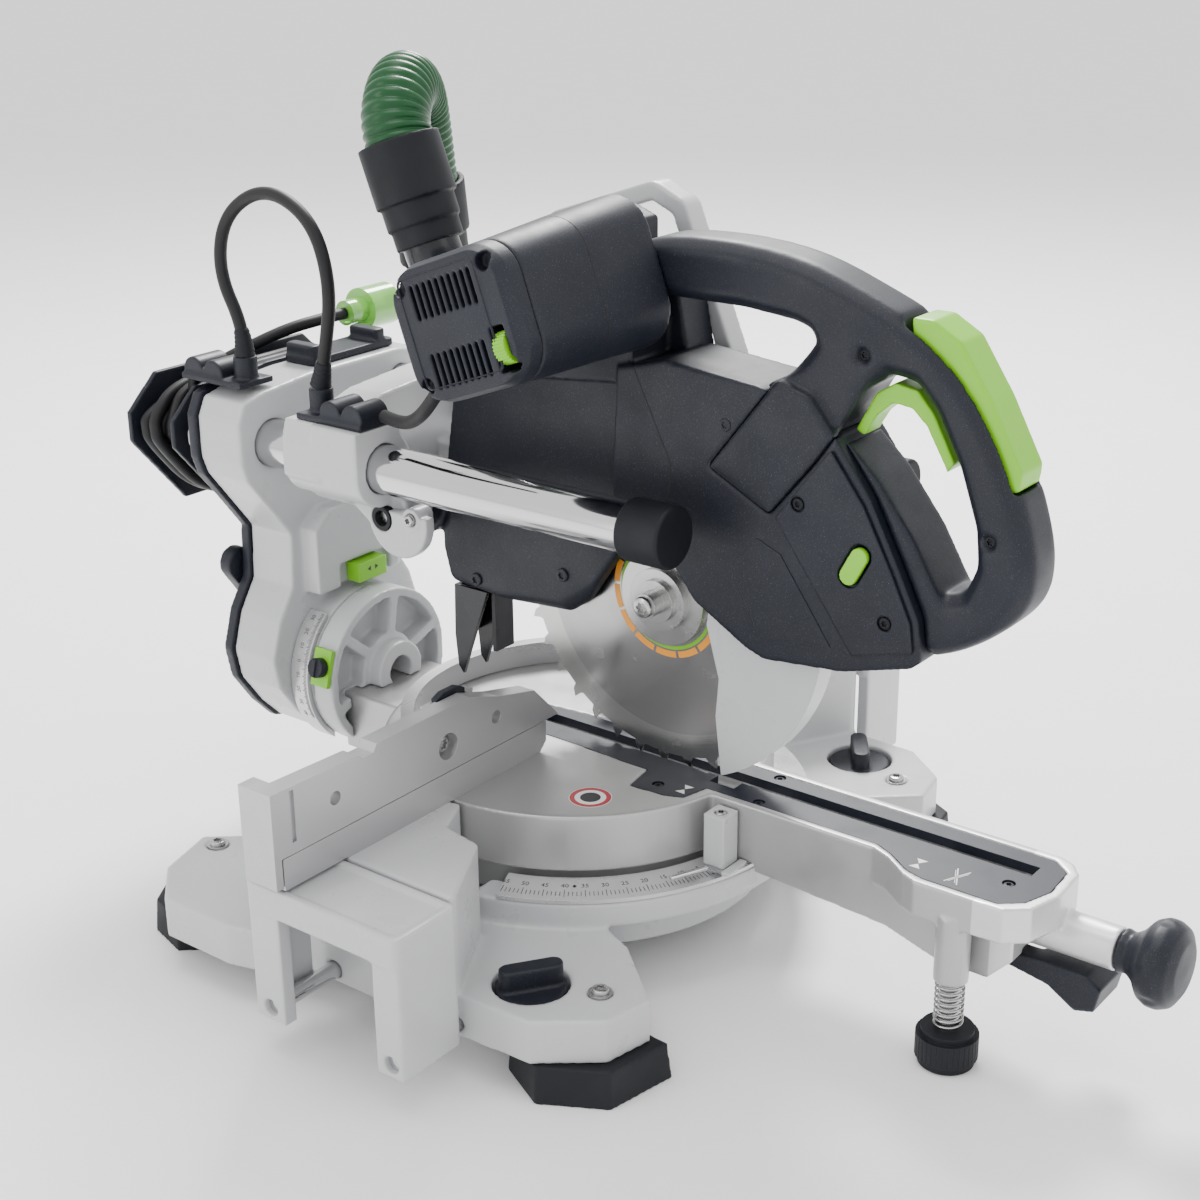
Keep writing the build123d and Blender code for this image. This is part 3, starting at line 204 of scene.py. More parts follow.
PLASTIC = (0.0062, 0.0078, 0.0140)
GREEN = (0.205, 0.560, 0.012)
BLADE_Y, BLADE_Z = -67.9, 210.2
blade_rings = {"shift": (0.0, -BLADE_Y * MM, -BLADE_Z * MM), "flatten": (0.0, 1.0, 1.0), "edge": 0.0865,
               "colour": (0.50, 0.50, 0.49), "pitch": 2600.0}
disc_rings = {"shift": (0.0, 0.0, 0.0), "flatten": (1.0, 1.0, 0.0), "edge": 0.3,
              "colour": (0.7, 0.7, 0.7), "pitch": 1500.0}
# the edge colours given below are lighter than each base colour: wear together with a painted edge highlight
finishes = {
    "white_paint": finish_material("white_paint", (0.50, 0.505, 0.515), 0.33, grain=700, bump=0.05,
                                   spread=0.02, edge_wear_and_highlight=((0.55, 0.55, 0.55), 0.25), coat=0.15, edge=0.0009),
    "cast_silver": finish_material("cast_silver", (0.44, 0.44, 0.44), 0.36, metallic=0.6, rings=disc_rings,
                                   bump=0.12, spread=0.03),
    "clear_anodised": finish_material("clear_anodised", (0.46, 0.46, 0.47), 0.32, metallic=0.6, grain=500,
                                      stretch=(0.03, 1, 1), bump=0.10, spread=0.03, edge=0.0004),
    "black_plastic": finish_material("black_plastic", PLASTIC, 0.46, grain=1500, bump=0.32, spread=0.10,
                                     speck=(2100.0, (0.075, 0.085, 0.12), 0.8), specular=0.34,
                                     edge_wear_and_highlight=((0.06, 0.065, 0.08), 0.5), edge=0.0007),
    "insert_plastic": finish_material("insert_plastic", (0.0075, 0.0098, 0.019), 0.40, grain=1500, bump=0.22,
                                      speck=(2100.0, (0.075, 0.085, 0.12), 0.6), specular=0.36, edge=0.0005),
    "green_plastic": finish_material("green_plastic", GREEN, 0.36, grain=1300, bump=0.10, spread=0.05,
                                     edge=0.0006),
    "black_rubber": finish_material("black_rubber", (0.0055, 0.0065, 0.0095), 0.58, grain=1100, bump=0.22,
                                    spread=0.15, edge_wear_and_highlight=((0.04, 0.04, 0.045), 0.4), specular=0.3, edge=0.0007),
    "cord_rubber": finish_material("cord_rubber", (0.0075, 0.0075, 0.0088), 0.52, grain=1800, bump=0.18,
                                   spread=0.12, specular=0.34),
    "chrome_steel": finish_material("chrome_steel", (0.60, 0.60, 0.61), 0.09, metallic=1.0, grain=260,
                                    stretch=(1, 0.02, 1), bump=0.03, spread=0.02, rough_spread=0.04),
    "zinc_steel": finish_material("zinc_steel", (0.46, 0.46, 0.455), 0.24, metallic=1.0, grain=900, bump=0.10,
                                  spread=0.06, rough_spread=0.10, edge=0.0003),
    "blade_steel": finish_material("blade_steel", (0.40, 0.40, 0.395), 0.24, metallic=1.0, rings=blade_rings,
                                   bump=0.10, spread=0.03, rough_spread=0.05, edge=0.0002),
    "scale_metal": finish_material("scale_metal", (0.58, 0.58, 0.59), 0.30, metallic=0.55, grain=1200,
                                   bump=0.08, spread=0.03, edge=0.0003),
    "guard_white": finish_material("guard_white", (0.56, 0.57, 0.58), 0.30, grain=1200, bump=0.04,
                                   spread=0.02, edge=0.0005),
    "hose_green": finish_material("hose_green", (0.001, 0.060, 0.012), 0.34, grain=900, bump=0.06,
                                  spread=0.12, specular=0.35),
    "smoke_plastic": finish_material("smoke_plastic", (0.010, 0.011, 0.014), 0.26, grain=900, bump=0.05,
                                     spread=0.10, specular=0.4),
    "flap_rubber": finish_material("flap_rubber", (0.016, 0.016, 0.019), 0.6, grain=900, bump=0.2,
                                   spread=0.12),
    "plug_green": finish_material("plug_green", (0.24, 0.62, 0.10), 0.16, grain=600, bump=0.04, spread=0.05,
                                  coat=0.5, transmission=0.35),
}
white_ink = finish_material("white_ink", (0.82, 0.82, 0.82), 0.5, grain=1800, bump=0.04, spread=0.02)
black_ink = finish_material("black_ink", (0.015, 0.015, 0.018), 0.5, grain=1800, bump=0.04, spread=0.05)
orange_ink = finish_material("orange_ink", (0.85, 0.33, 0.03), 0.4, grain=1500, bump=0.04, spread=0.05)
red_ink = finish_material("red_ink", (0.42, 0.02, 0.03), 0.4, grain=1500, bump=0.04, spread=0.05)
dark_gap = finish_material("dark_gap", (0.004, 0.004, 0.006), 0.7, grain=900, bump=0.05, spread=0.1)
clear_window = finish_material("clear_window", (0.85, 0.88, 0.88), 0.08, grain=300, bump=0.02, spread=0.02,
                               rough_spread=0.03, transmission=0.9, coat=0.4)

slot_of = {part["node"]: part["material_slot"] for part in frame["record"]["subparts"]}
body_of = {node: body for body, nodes in frame["record"]["behaviour"]["bodies"].items() for node in nodes}
for node, thing in frame["nodes"].items():
    for material_slot in thing.material_slots:
        material_slot.material = finishes[slot_of[node]]


# ---------------------------------------------------------------- mesh helpers
class Shape:
    """Vertices in millimetres and faces, gathered from several simple solids."""

    def __init__(self):
        self.vertices, self.faces = [], []

    def add(self, vertices, faces):
        start = len(self.vertices)
        self.vertices += [Vector(v) for v in vertices]
        self.faces += [[start + i for i in face] for face in faces]

    def rings(self, rows, close_ends=True, wrap=False):
        """Skin rows of equal length; the first and last rows are capped."""
        count = len(rows[0])
        vertices = [v for row in rows for v in row]
        faces = []
        steps = len(rows) if wrap else len(rows) - 1
        for r in range(steps):
            n = (r + 1) % len(rows)
            for i in range(count):
                j = (i + 1) % count
                faces.append([r * count + i, r * count + j, n * count + j, n * count + i])
        if close_ends and not wrap:
            faces.append(list(range(count))[::-1])
            faces.append([(len(rows) - 1) * count + i for i in range(count)])
        self.add(vertices, faces)

    def prism(self, outline, place, low, high):
        """Outline in the local plane of place, extruded from low to high along its normal."""
        self.rings([[place @ Vector((a, b, low)) for a, b in outline],
                    [place @ Vector((a, b, high)) for a, b in outline]])


def plane_at(origin, across, up):
    """Matrix from a local plane, its axes across and up, to the frame."""
    across = Vector(across).normalized()
    normal = across.cross(Vector(up)).normalized()
    up = normal.cross(across)
    matrix = Matrix((across, up, normal)).transposed().to_4x4()
    matrix.translation = Vector(origin)
    return matrix


def finish_piece(name, shape, material, body, smooth=30.0):
    mesh = bpy.data.meshes.new(name)
    mesh.from_pydata([v * MM for v in shape.vertices], [], shape.faces)
    work = bmesh.new()
    work.from_mesh(mesh)
    bmesh.ops.recalc_face_normals(work, faces=work.faces)
    work.to_mesh(mesh)
    work.free()
    if smooth:
        mesh.shade_smooth()
        mesh.set_sharp_from_angle(angle=math.radians(smooth))
    mesh.materials.append(material)
    piece = bpy.data.objects.new(name, mesh)
    bpy.context.scene.collection.objects.link(piece)
    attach(piece, body)
    return piece


def circle(radius, count):
    turns = [2 * math.pi * i / count for i in range(count)]
    return [(radius * math.cos(t), radius * math.sin(t)) for t in turns]


def add_screw(shape, place, radius, height):
    """Domed screw head with a recess of six lobes, standing on local z = 0."""
    def row(scale, z, lobed=False):
        points = []
        for i in range(48):
            t = 2 * math.pi * i / 48
            r = scale * (1 + 0.17 * math.cos(6 * t)) if lobed else scale
            points.append(place @ Vector((r * math.cos(t), r * math.sin(t), z)))
        return points
    shape.rings([row(radius, 0), row(radius, height * 0.55), row(radius * 0.93, height * 0.82),
                 row(radius * 0.78, height * 0.97), row(radius * 0.5, height, True),
                 row(radius * 0.48, height * 0.25, True)])


def screws(name, spots, material, body):
    """Group of screw heads; each spot is (position, outward normal, radius, height)."""
    shape = Shape()
    for position, normal, radius, height in spots:
        normal = Vector(normal)
        across = Z_AXIS.cross(normal) if abs(normal.normalized().z) < 0.9 else X_AXIS
        add_screw(shape, plane_at(position, across, normal.cross(across)), radius, height)
    return finish_piece(name, shape, material, body)


def spline_points(points, resolution=12):
    """Points along the smooth NURBS line of a route given in millimetres."""
    curve = nurbs_curve("route", points, 0.0, resolution)
    bpy.context.view_layer.update()
    line = bpy.data.meshes.new_from_object(curve.evaluated_get(bpy.context.evaluated_depsgraph_get()))
    found = [v.co / MM for v in line.vertices]
    bpy.data.objects.remove(curve)
    return found


def nurbs_curve(name, points, radius, resolution=12):
    data = bpy.data.curves.new(name, "CURVE")
    data.dimensions = "3D"
    spline = data.splines.new("NURBS")
    spline.points.add(len(points) - 1)
    for control, point in zip(spline.points, points):
        control.co = (*(Vector(point) * MM), 1.0)
    spline.order_u = 3
    spline.use_endpoint_u = True
    spline.resolution_u = resolution
    data.bevel_depth = radius * MM
    data.bevel_resolution = 6
    data.use_fill_caps = True
    curve = bpy.data.objects.new(name, data)
    bpy.context.scene.collection.objects.link(curve)
    return curve


def swept(path, radius_at, sides=24):
    """Tube of varying radius along a path in millimetres."""
    shape = Shape()
    last = len(path) - 1
    tangents = [(path[min(i + 1, last)] - path[max(i - 1, 0)]).normalized() for i in range(last + 1)]
    normal = tangents[0].orthogonal().normalized()
    rows, run = [], 0.0
    for i, point in enumerate(path):
        if i:
            run += (point - path[i - 1]).length
            normal = (normal - tangents[i] * normal.dot(tangents[i])).normalized()
        side = tangents[i].cross(normal)
        rows.append([point + (normal * a + side * b) for a, b in circle(radius_at(run), sides)])
    shape.rings(rows)
    return shape


def path_length(path):
    return sum((b - a).length for a, b in zip(path, path[1:]))


def resampled(path, step):
    """The same line with points evenly spaced."""
    total = path_length(path)
    count = max(2, int(total / step))
    result, i, done = [path[0]], 0, 0.0
    for k in range(1, count):
        goal = total * k / count
        while done + (path[i + 1] - path[i]).length < goal:
            done += (path[i + 1] - path[i]).length
            i += 1
        span = (path[i + 1] - path[i]).length
        result.append(path[i].lerp(path[i + 1], (goal - done) / span))
    return result + [path[-1]]


# ---------------------------------------------------------------- rounded castings and mouldings
DISC_TOP_FROM, DISC_RADIUS = 0.1062, 0.1195


def softened(node, voxel, rounds, keep=0.35, top_material=None):
    """Copy of a CAD solid with its edges rounded as a casting or a moulding has them.

    top_material goes on the machined top of the turntable's disc.
    """
    mesh = frame["nodes"][node].data.copy()
    piece = bpy.data.objects.new(node + "_skin", mesh)
    bpy.context.scene.collection.objects.link(piece)
    remesh = piece.modifiers.new("remesh", "REMESH")
    remesh.mode = "VOXEL"
    remesh.voxel_size = voxel * MM
    relax = piece.modifiers.new("relax", "SMOOTH")
    relax.factor = 0.5
    relax.iterations = rounds
    thin = piece.modifiers.new("thin", "DECIMATE")
    thin.ratio = keep
    bpy.context.view_layer.update()
    final = bpy.data.meshes.new_from_object(piece.evaluated_get(bpy.context.evaluated_depsgraph_get()))
    piece.modifiers.clear()
    piece.data = final
    final.materials.clear()
    final.materials.append(finishes[slot_of[node]])
    if top_material:
        final.materials.append(top_material)
        for face in final.polygons:
            on_disc = face.center.z > DISC_TOP_FROM and face.center.xy.length < DISC_RADIUS
            if on_disc and face.normal.z > 0.97:
                face.material_index = 1
    final.shade_smooth()
    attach(piece, body_of[node])
    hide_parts(node)
    return piece


soft_nodes = [
    ("main_handle", 1.4, 26), ("blade_housing", 1.3, 5), ("side_cover", 0.8, 4), ("motor_body", 1.3, 8),
    ("motor_cap", 0.7, 3), ("base_casting", 1.4, 5), ("tilt_column", 1.3, 8), ("column_cover", 1.2, 5),
    ("carriage", 1.2, 5), ("stop_bracket", 0.9, 4), ("table_extension_left", 1.0, 4),
    ("table_extension_right", 1.0, 4), ("carry_loop", 1.2, 8), ("mitre_knob", 1.0, 8),
    ("detent_lever", 0.9, 8),
    ("clamp_knob_left", 0.8, 7), ("clamp_knob_right", 0.8, 7), ("grip_lever", 0.8, 22), ("trigger", 0.8, 14),
    ("rubber_feet", 0.9, 9), ("bevel_lever", 1.0, 8), ("bevel_hub", 1.2, 5), ("cable_winder", 1.2, 4),
    ("column_clip", 0.8, 5), ("carriage_clip", 0.8, 5), ("dust_elbow", 1.0, 6), ("hose_cuffs", 0.9, 4),
    ("led_button", 0.5, 4), ("pointer_bracket", 0.6, 3), ("bevel_slide_button", 0.6, 3),
    ("bevel_stop_knob", 0.5, 3),
]
for node, voxel, rounds in soft_nodes:
    softened(node, voxel, rounds)
softened("turntable", 1.1, 3, keep=0.4, top_material=finishes["cast_silver"])

# ---------------------------------------------------------------- cords and hose
CORD_RADIUS = 4.0
loop_route = [
    (-62, 212, 326.6), (-62.5, 210.5, 343), (-66, 226, 378), (-66, 216, 414), (-66, 178, 434),
    (-66, 140, 418), (-66, 128, 380), (-64, 138, 340), (-61, 147, 317),
]
loop_path = spline_points(loop_route)
loop = finish_piece("loop_cable", swept(loop_path, lambda run: CORD_RADIUS), finishes["cord_rubber"],
                    "column")
loop.parent = None
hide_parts("cord_loop")
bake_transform(loop)

lead_in_route = [(-62, 94, 306), (-66, 76, 305), (-72, 58, 312), (-76, 42, 326), (-78, 26, 346)]
lead_in_path = spline_points(lead_in_route)
lead_in = finish_piece("motor_cable", swept(lead_in_path, lambda run: CORD_RADIUS), finishes["cord_rubber"],
                       "head")
lead_in.parent = None
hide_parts("motor_lead")
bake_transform(lead_in)

winder_outline = [(-90, 282), (-66, 304), (66, 304), (90, 282), (90, 262), (50, 214), (-50, 214), (-90, 262)]
FIRST_TURN_Y, TURN_STEP, TURNS = 270.8, 8.3, 2


def inset_outline(outline, inset):
    """Convex outline moved inwards by one distance."""
    result = []
    count = len(outline)
    for i in range(count):
        before = Vector(outline[i - 1])
        here = Vector(outline[i])
        after = Vector(outline[(i + 1) % count])
        first, second = (here - before).normalized(), (after - here).normalized()
        inward_1, inward_2 = Vector((first.y, -first.x)), Vector((second.y, -second.x))
        bisector = (inward_1 + inward_2).normalized()
        result.append(here + bisector * (inset / bisector.dot(inward_1)))
    return result


def winding_route():
    """Turns of the lead on the winder, in three layers of two turns."""
    route = [(-62, 257, 313.8), (-60, 263, 309)]
    for layer, inset in enumerate((23.0, 14.6, 6.2)):
        corners = inset_outline(winder_outline, inset)
        loop_points = []
        for i, corner in enumerate(corners):
            loop_points.append(corner)
            if i % 2 == 1:
                loop_points.append((corner + corners[(i + 1) % len(corners)]) / 2)
        steps = len(loop_points) * TURNS
        for k in range(steps):
            along = k / steps * TURNS
            y = FIRST_TURN_Y + TURN_STEP * (along if layer % 2 == 0 else TURNS - along)
            point = loop_points[(k + 1) % len(loop_points)]
            route.append((point.x, y, point.y))
    return route


lead_tail = [(-30, 279, 303), (-12, 266, 313), (12, 252, 323), (36, 244.5, 326), (57.6, 244, 326)]
mains_cable = nurbs_curve("mains_cable", winding_route() + lead_tail, CORD_RADIUS, 8)
mains_cable.data.materials.append(finishes["cord_rubber"])
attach(mains_cable, "column")
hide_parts("mains_lead", "mains_winding")
mains_length = path_length(spline_points(winding_route() + lead_tail, 8)) * MM

hose_route = [
    (-19.1, 108.5, 447.6), (-19.5, 115.5, 466.4), (-7.5, 122.6, 483.6), (11.1, 133.6, 488.6),
    (28.3, 143.9, 479.2), (37.0, 149.0, 459.5), (44.0, 151.0, 419.5),
]
hose_path = resampled(spline_points(hose_route, 24), 0.55)
HOSE_RADIUS, RIB_HEIGHT, RIB_PITCH = 18.6, 1.9, 4.9


def hose_radius(run):
    """Round ribs with narrow valleys between them."""
    return HOSE_RADIUS + RIB_HEIGHT * abs(math.sin(math.pi * run / RIB_PITCH)) ** 0.7


hose = finish_piece("ribbed_hose", swept(hose_path, hose_radius, 40), finishes["hose_green"], "head",
                    smooth=0)
hose.data.shade_smooth()
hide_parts("dust_hose")

# ---------------------------------------------------------------- scales
RING_IN, RING_TOP, RING_SLOPE = 123.4, 69.4, 0.1422
POINTER_OFFSET = 15.4
SMALL_LIFT = 0.04
INK = 0.08
DIGIT_RADIUS = 131.2


def scale_place(radius, degrees):
    """Local plane on the sloping mitre scale, its up axis towards the disc."""
    t = math.radians(degrees)
    height = RING_TOP - (radius - RING_IN) * RING_SLOPE + SMALL_LIFT
    return plane_at((-radius * math.sin(t), -radius * math.cos(t), height), (math.cos(t), -math.sin(t), 0),
                    (math.sin(t), math.cos(t), RING_SLOPE))


def add_text(shape, text, size, place):
    curve = bpy.data.curves.new("digits", "FONT")
    curve.body = text
    curve.size = size
    curve.align_x, curve.align_y = "CENTER", "CENTER"
    curve.extrude = 0.04
    curve.resolution_u = 3
    holder = bpy.data.objects.new("digits", curve)
    bpy.context.scene.collection.objects.link(holder)
    bpy.context.view_layer.update()
    mesh = bpy.data.meshes.new_from_object(holder.evaluated_get(bpy.context.evaluated_depsgraph_get()))
    shape.add([place @ v.co for v in mesh.vertices], [list(face.vertices) for face in mesh.polygons])
    bpy.data.objects.remove(holder)


def bar(half_width, half_length):
    return [(-half_width, -half_length), (half_width, -half_length), (half_width, half_length),
            (-half_width, half_length)]


mitre_marks = Shape()
for value in range(-55, 56):
    degrees = POINTER_OFFSET + value
    half_length, radius = (2.9, 138.0) if value % 5 == 0 else (1.9, 138.4)
    mitre_marks.prism(bar(0.19, half_length), scale_place(radius, degrees), 0.0, INK)
    if value % 5 == 0 and value != 0:
        add_text(mitre_marks, str(abs(value)), 4.6, scale_place(DIGIT_RADIUS, degrees))
mitre_marks.prism([(-1.3, 0), (0, -1.5), (1.3, 0), (0, 1.5)], scale_place(131.4, POINTER_OFFSET + 37.6),
                  0.0, INK)
add_text(mitre_marks, "0", 4.6, scale_place(DIGIT_RADIUS, POINTER_OFFSET))
finish_piece("mitre_marks", mitre_marks, black_ink, "base", smooth=0)

BEVEL_Z, BEVEL_R, INDICATOR_ANGLE = 107.0, 56.85, 164.0


def bevel_place(y, degrees):
    """Local plane on the rim of the bevel scale, its up axis to the rear."""
    t = math.radians(degrees)
    return plane_at((BEVEL_R * math.cos(t), y, BEVEL_Z + BEVEL_R * math.sin(t)),
                    (math.sin(t), 0, -math.cos(t)), (0, 1, 0))


bevel_marks = Shape()
for value in range(-42, 35):
    half_length, y = (1.9, 185.0) if value % 5 == 0 else (1.2, 184.3)
    bevel_marks.prism(bar(0.2, half_length), bevel_place(y, INDICATOR_ANGLE - value), 0.0, INK)
    if value % 10 == 0:
        add_text(bevel_marks, str(abs(value)), 4.4, bevel_place(190.5, INDICATOR_ANGLE - value))
finish_piece("bevel_marks", bevel_marks, black_ink, "column", smooth=0)

# ---------------------------------------------------------------- screws
LEFT, UP, FRONT = (-1, 0, 0), (0, 0, 1), (0, -1, 0)
screws("handle_screws",
       [((-13.4, -71, 401), LEFT, 3.3, 2.2), ((-13.4, -202, 376), LEFT, 3.3, 2.2),
        ((-13.4, -278, 291), LEFT, 3.3, 2.2), ((-24.3, -171, 293), LEFT, 3.4, 1.7),
        ((-24.3, -226, 238), LEFT, 3.4, 1.7)],
       finishes["black_rubber"], "head")
screws("housing_screws",
       [((-15.6, 67, 195), LEFT, 4.2, 1.6), ((-15.6, -2, 213), LEFT, 4.2, 1.6),
        ((-23.8, -123, 328), LEFT, 3.6, 1.0)],
       finishes["black_plastic"], "head")
screws("bench_screws", [((sx * x, y, 48.7), UP, 4.8, 2.4) for x, y in ((158, -138.3), (168, 152))
                        for sx in (-1, 1)], finishes["zinc_steel"], "base")
screws("insert_screws", [((x, y, 104.5), UP, 3.1, 1.5) for x, y in
                         ((-18.5, -146), (-18, -303), (15, -139), (-15, 25), (-34, -86))],
       finishes["black_plastic"], "turntable")
screws("pointer_screw", [((-35.5, -131.5, 100.3), UP, 3.5, 2.9)], finishes["zinc_steel"], "turntable")
screws("stop_screw", [((-58.0, 80, 243), LEFT, 3.7, 3.5)], finishes["zinc_steel"], "carriage")
screws("arbor_screw", [((-22.8, BLADE_Y, BLADE_Z), LEFT, 6.4, 3.4)], finishes["zinc_steel"], "blade")
for side, fence_body in ((-1, "fence_left"), (1, "fence_right")):
    bolt = Shape()
    place = plane_at((side * 124, 4.5, 142), X_AXIS, Z_AXIS)
    bolt.prism(circle(7.7, 48), place, 0.0, 1.4)
    add_screw(bolt, plane_at((side * 124, 3.1, 142), X_AXIS, Z_AXIS), 5.2, 3.4)
    finish_piece("fence_bolt_" + fence_body, bolt, finishes["zinc_steel"], fence_body)
    lever = Shape()
    lever_outline = [(96, 150), (120, 150), (120, 166), (114, 168.6), (102, 168.6), (96, 166)]
    lever.prism([(side * x, z) for x, z in lever_outline], plane_at((0, 11.6, 0), X_AXIS, Z_AXIS), 0.0, 4.2)
    finish_piece("fence_lever_" + fence_body, lever, finishes["black_plastic"], fence_body)

hinge_pin = Shape()
across_pin = plane_at((0, 105, 239), Y_AXIS, Z_AXIS)
hinge_pin.prism(circle(4.35, 40), across_pin, -54.0, 54.0)
finish_piece("hinge_pin", hinge_pin, finishes["zinc_steel"], "carriage")
pin_bush = Shape()
bush_rows = [[across_pin @ Vector((x, y, z)) for x, y in circle(r, 40)]
             for r, z in ((5.0, -58.2), (7.6, -58.2), (7.6, -52.4), (5.0, -52.4))]
pin_bush.rings(bush_rows, wrap=True)
finish_piece("pin_bush", pin_bush, finishes["black_rubber"], "carriage")

# ---------------------------------------------------------------- symbols on the table and the insert
insert_marks = Shape()
INSERT_TOP = 106.62


def add_arrows(shape, centre, turn, size):
    """Two small triangles that point at each other."""
    place = plane_at((centre[0], centre[1], INSERT_TOP), (math.cos(turn), math.sin(turn), 0),
                     (-math.sin(turn), math.cos(turn), 0))
    for side in (-1, 1):
        shape.prism([(-size, side * size * 1.5), (size, side * size * 1.5), (0, side * size * 0.12)][::side],
                    place, 0.0, INK)


add_arrows(insert_marks, (-30.6, -102.6), math.radians(90), 3.3)
add_arrows(insert_marks, (-27.8, -254.6), math.radians(90), 3.3)
for turn in (math.radians(25), math.radians(155)):
    place = plane_at((-28.1, -278, INSERT_TOP), (math.cos(turn), math.sin(turn), 0),
                     (-math.sin(turn), math.cos(turn), 0))
    insert_marks.prism([(-9, -0.35), (9, -0.35), (9, 0.35), (-9, 0.35)], place, 0.0, INK)
    insert_marks.prism([(-7, 0.9), (7, 0.9), (7, 1.3), (-7, 1.3)], place, 0.0, INK)
finish_piece("insert_marks", insert_marks, white_ink, "turntable", smooth=0)

STICKER = plane_at((-72.1, -65.4, 107.0), X_AXIS, Y_AXIS)
for name, outer, inner, z, ink in (("sticker_back", 12.6, 0.0, 0.02, white_ink),
                                   ("sticker_ring", 12.1, 9.2, 0.10, red_ink),
                                   ("sticker_dot", 6.0, 0.0, 0.10, black_ink)):
    sticker = Shape()
    if inner:
        rows = [[STICKER @ Vector((x, y, h)) for x, y in circle(r, 64)]
                for r, h in ((inner, z), (outer, z), (outer, z + 0.07), (inner, z + 0.07))]
        sticker.rings(rows, wrap=True)
    else:
        sticker.prism(circle(outer, 64), STICKER, z, z + 0.07)
    finish_piece(name, sticker, ink, "turntable", smooth=20)

# clear window over the scale and its pin
window = Shape()
window.prism([(-49.5, -131), (-22.2, -119.5), (-23.8, -147), (-46, -143.5)], Matrix.Identity(4), 70.4, 71.3)
finish_piece("pointer_window", window, clear_window, "turntable", smooth=20)
window_pin = Shape()
pin_start, pin_end = Vector((-49.0, -131.5, 72.6)), Vector((-27.0, -141.5, 72.6))
pin_place = plane_at(pin_start, (pin_end - pin_start).cross(Z_AXIS), Z_AXIS)
window_pin.prism(circle(1.5, 24), pin_place, 0.0, (pin_end - pin_start).length)
finish_piece("window_pin", window_pin, finishes["chrome_steel"], "turntable")

# ---------------------------------------------------------------- blade face, seams, label plate and dial
BLADE = plane_at((-0.9, BLADE_Y, BLADE_Z), -Y_AXIS, Z_AXIS)
segments = Shape()
SEGMENTS = 14
for k in range(SEGMENTS):
    start = 2 * math.pi * (k + 0.04) / SEGMENTS
    stop = 2 * math.pi * (k + 0.93) / SEGMENTS
    arc = [start + (stop - start) * i / 8 for i in range(9)]
    outline = [(38.2 * math.cos(t), 38.2 * math.sin(t)) for t in arc]
    outline += [(34.2 * math.cos(t), 34.2 * math.sin(t)) for t in reversed(arc)]
    segments.prism(outline, BLADE, 0.02, 0.12)
finish_piece("blade_segments", segments, orange_ink, "blade", smooth=0)
green_ring = Shape()
green_ring.rings([[BLADE @ Vector((x, y, h)) for x, y in circle(r, 72)]
                  for r, h in ((31.0, 0.02), (33.2, 0.02), (33.2, 0.12), (31.0, 0.12))], wrap=True)
finish_piece("blade_green_ring", green_ring, finishes["green_plastic"], "blade", smooth=20)


def add_seam(shape, x, points, width, proud):
    """Dark joint line on a face that looks to the left."""
    for (y0, z0), (y1, z1) in zip(points, points[1:]):
        along = Vector((y1 - y0, z1 - z0)).normalized()
        side = Vector((-along.y, along.x)) * width / 2
        corners = [(y0 + side.x, z0 + side.y), (y1 + side.x, z1 + side.y), (y1 - side.x, z1 - side.y),
                   (y0 - side.x, z0 - side.y)]
        shape.rings([[Vector((x + 0.6, y, z)) for y, z in corners],
                     [Vector((x - proud, y, z)) for y, z in corners]])


seams = Shape()
add_seam(seams, -23.9, [(-62, 350), (-87, 300), (-86, 282), (-64, 250)], 1.1, 0.12)
finish_piece("housing_seam", seams, dark_gap, "head", smooth=0)


def rounded_square(width, height, radius):
    corners = []
    for cx, cy, start in ((1, 1, 0), (-1, 1, 90), (-1, -1, 180), (1, -1, 270)):
        for step in range(9):
            t = math.radians(start + step * 11.25)
            corners.append((cx * (width / 2 - radius) + radius * math.cos(t),
                            cy * (height / 2 - radius) + radius * math.sin(t)))
    return corners


MOTOR_TILT = math.radians(-20.0)
MOTOR_UP = Vector((0, -math.sin(MOTOR_TILT), math.cos(MOTOR_TILT)))
MOTOR_ACROSS = Vector((0, math.cos(MOTOR_TILT), math.sin(MOTOR_TILT)))
motor_seams = Shape()
motor_seams.prism(rounded_square(87.1, 80.1, 22), plane_at((-66, -29, 391.5), MOTOR_ACROSS, MOTOR_UP),
                  -0.35, 0.35)
finish_piece("motor_seam", motor_seams, dark_gap, "head")
cap_frame = Shape()
FRAME_PLACE = plane_at((-128.0, -20.5, 388.5), MOTOR_ACROSS, MOTOR_UP)
frame_rows = [[FRAME_PLACE @ Vector((x, y, h)) for x, y in rounded_square(w, t, 4)]
              for w, t, h in ((56, 59, -0.6), (57.6, 60.6, 0.5), (56.6, 59.6, 0.9), (55, 58, 0.5))]
cap_frame.rings(frame_rows, wrap=True)
finish_piece("cap_frame", cap_frame, finishes["black_plastic"], "head")

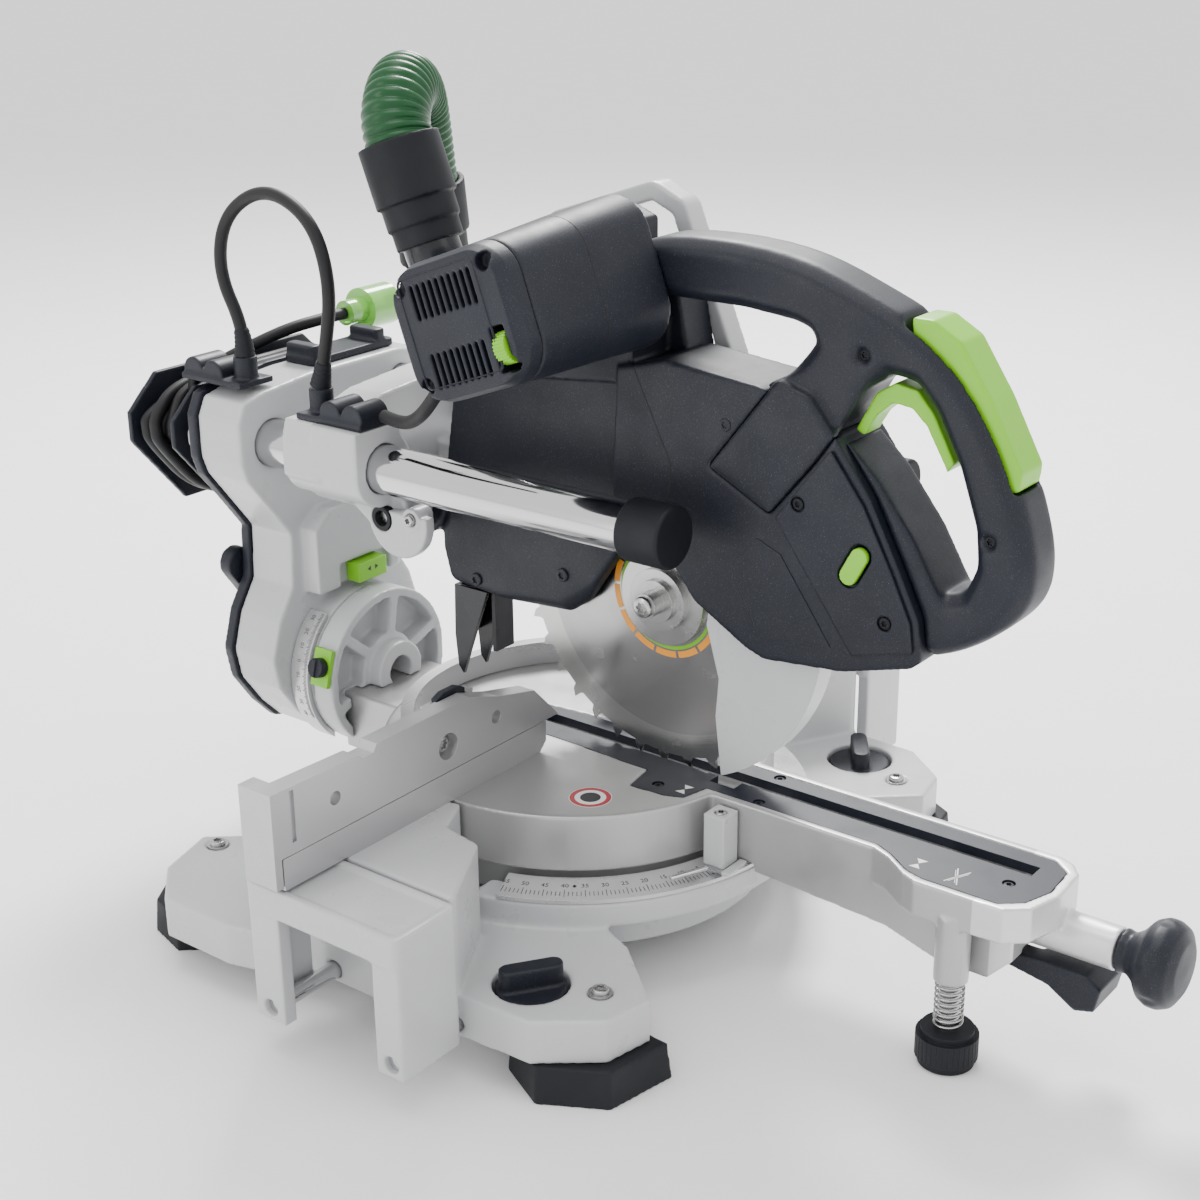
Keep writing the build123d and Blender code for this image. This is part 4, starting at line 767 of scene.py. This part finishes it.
plate = Shape()
plate_outline = [(-145, 268), (-128, 248), (-148, 211), (-193, 216), (-160, 262)]
plate.prism([(-y, z) for y, z in plate_outline], plane_at((-24.0, 0, 0), -Y_AXIS, Z_AXIS), 0.0, 0.5)
finish_piece("label_plate", plate, finishes["black_plastic"], "head")

DIAL_AXIS = Vector((0, 0.9397, -0.3420))
dial_place = plane_at(Vector((-121.4, -56, 381)) - DIAL_AXIS * 3.9, X_AXIS, DIAL_AXIS.cross(X_AXIS))
dial = Shape()
dial_outline = []
for i in range(112):
    t = 2 * math.pi * i / 112
    r = 8.9 if i % 4 < 2 else 8.3
    dial_outline.append((r * math.cos(t), r * math.sin(t)))
dial.prism(dial_outline, dial_place, 0.0, 7.8)
ribbed_dial = finish_piece("ribbed_dial", dial, finishes["green_plastic"], "dial")
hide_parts("speed_dial")

# dark arrow marks on the green bevel button
button_marks = Shape()
for side in (-1, 1):
    button_marks.prism([(side * 5, 0), (side * 2, 1.8), (side * 2, -1.8)],
                       plane_at((5, 177.45, 173), X_AXIS, Z_AXIS), 0.0, 0.12)
finish_piece("button_marks", button_marks, black_ink, "bevel_button", smooth=0)

# tapered sleeves where the loose lead leaves its clips
for name, path, sleeve_body in (("sleeve_rear", loop_path, "column"),
                                ("sleeve_front", loop_path[::-1], "carriage")):
    line = resampled(path, 1.0)[:17]
    sleeve = swept(line, lambda run: 6.4 - 0.11 * run + 0.25 * math.cos(run * 2.2), 28)
    finish_piece(name, sleeve, finishes["black_rubber"], sleeve_body, smooth=40)

# ---------------------------------------------------------------- floor
FLOOR_HALF = 9000
floor_shape = Shape()
floor_shape.prism(bar(FLOOR_HALF, FLOOR_HALF), Matrix.Identity(4), -4.0, -0.05)
floor_material = finish_material("floor_white", (0.93, 0.93, 0.93), 0.6, grain=60, bump=0.01, spread=0.01)
floor_mesh = bpy.data.meshes.new("floor")
floor_mesh.from_pydata([v * MM for v in floor_shape.vertices], [], floor_shape.faces)
floor_mesh.materials.append(floor_material)
floor = bpy.data.objects.new("floor", floor_mesh)
bpy.context.scene.collection.objects.link(floor)
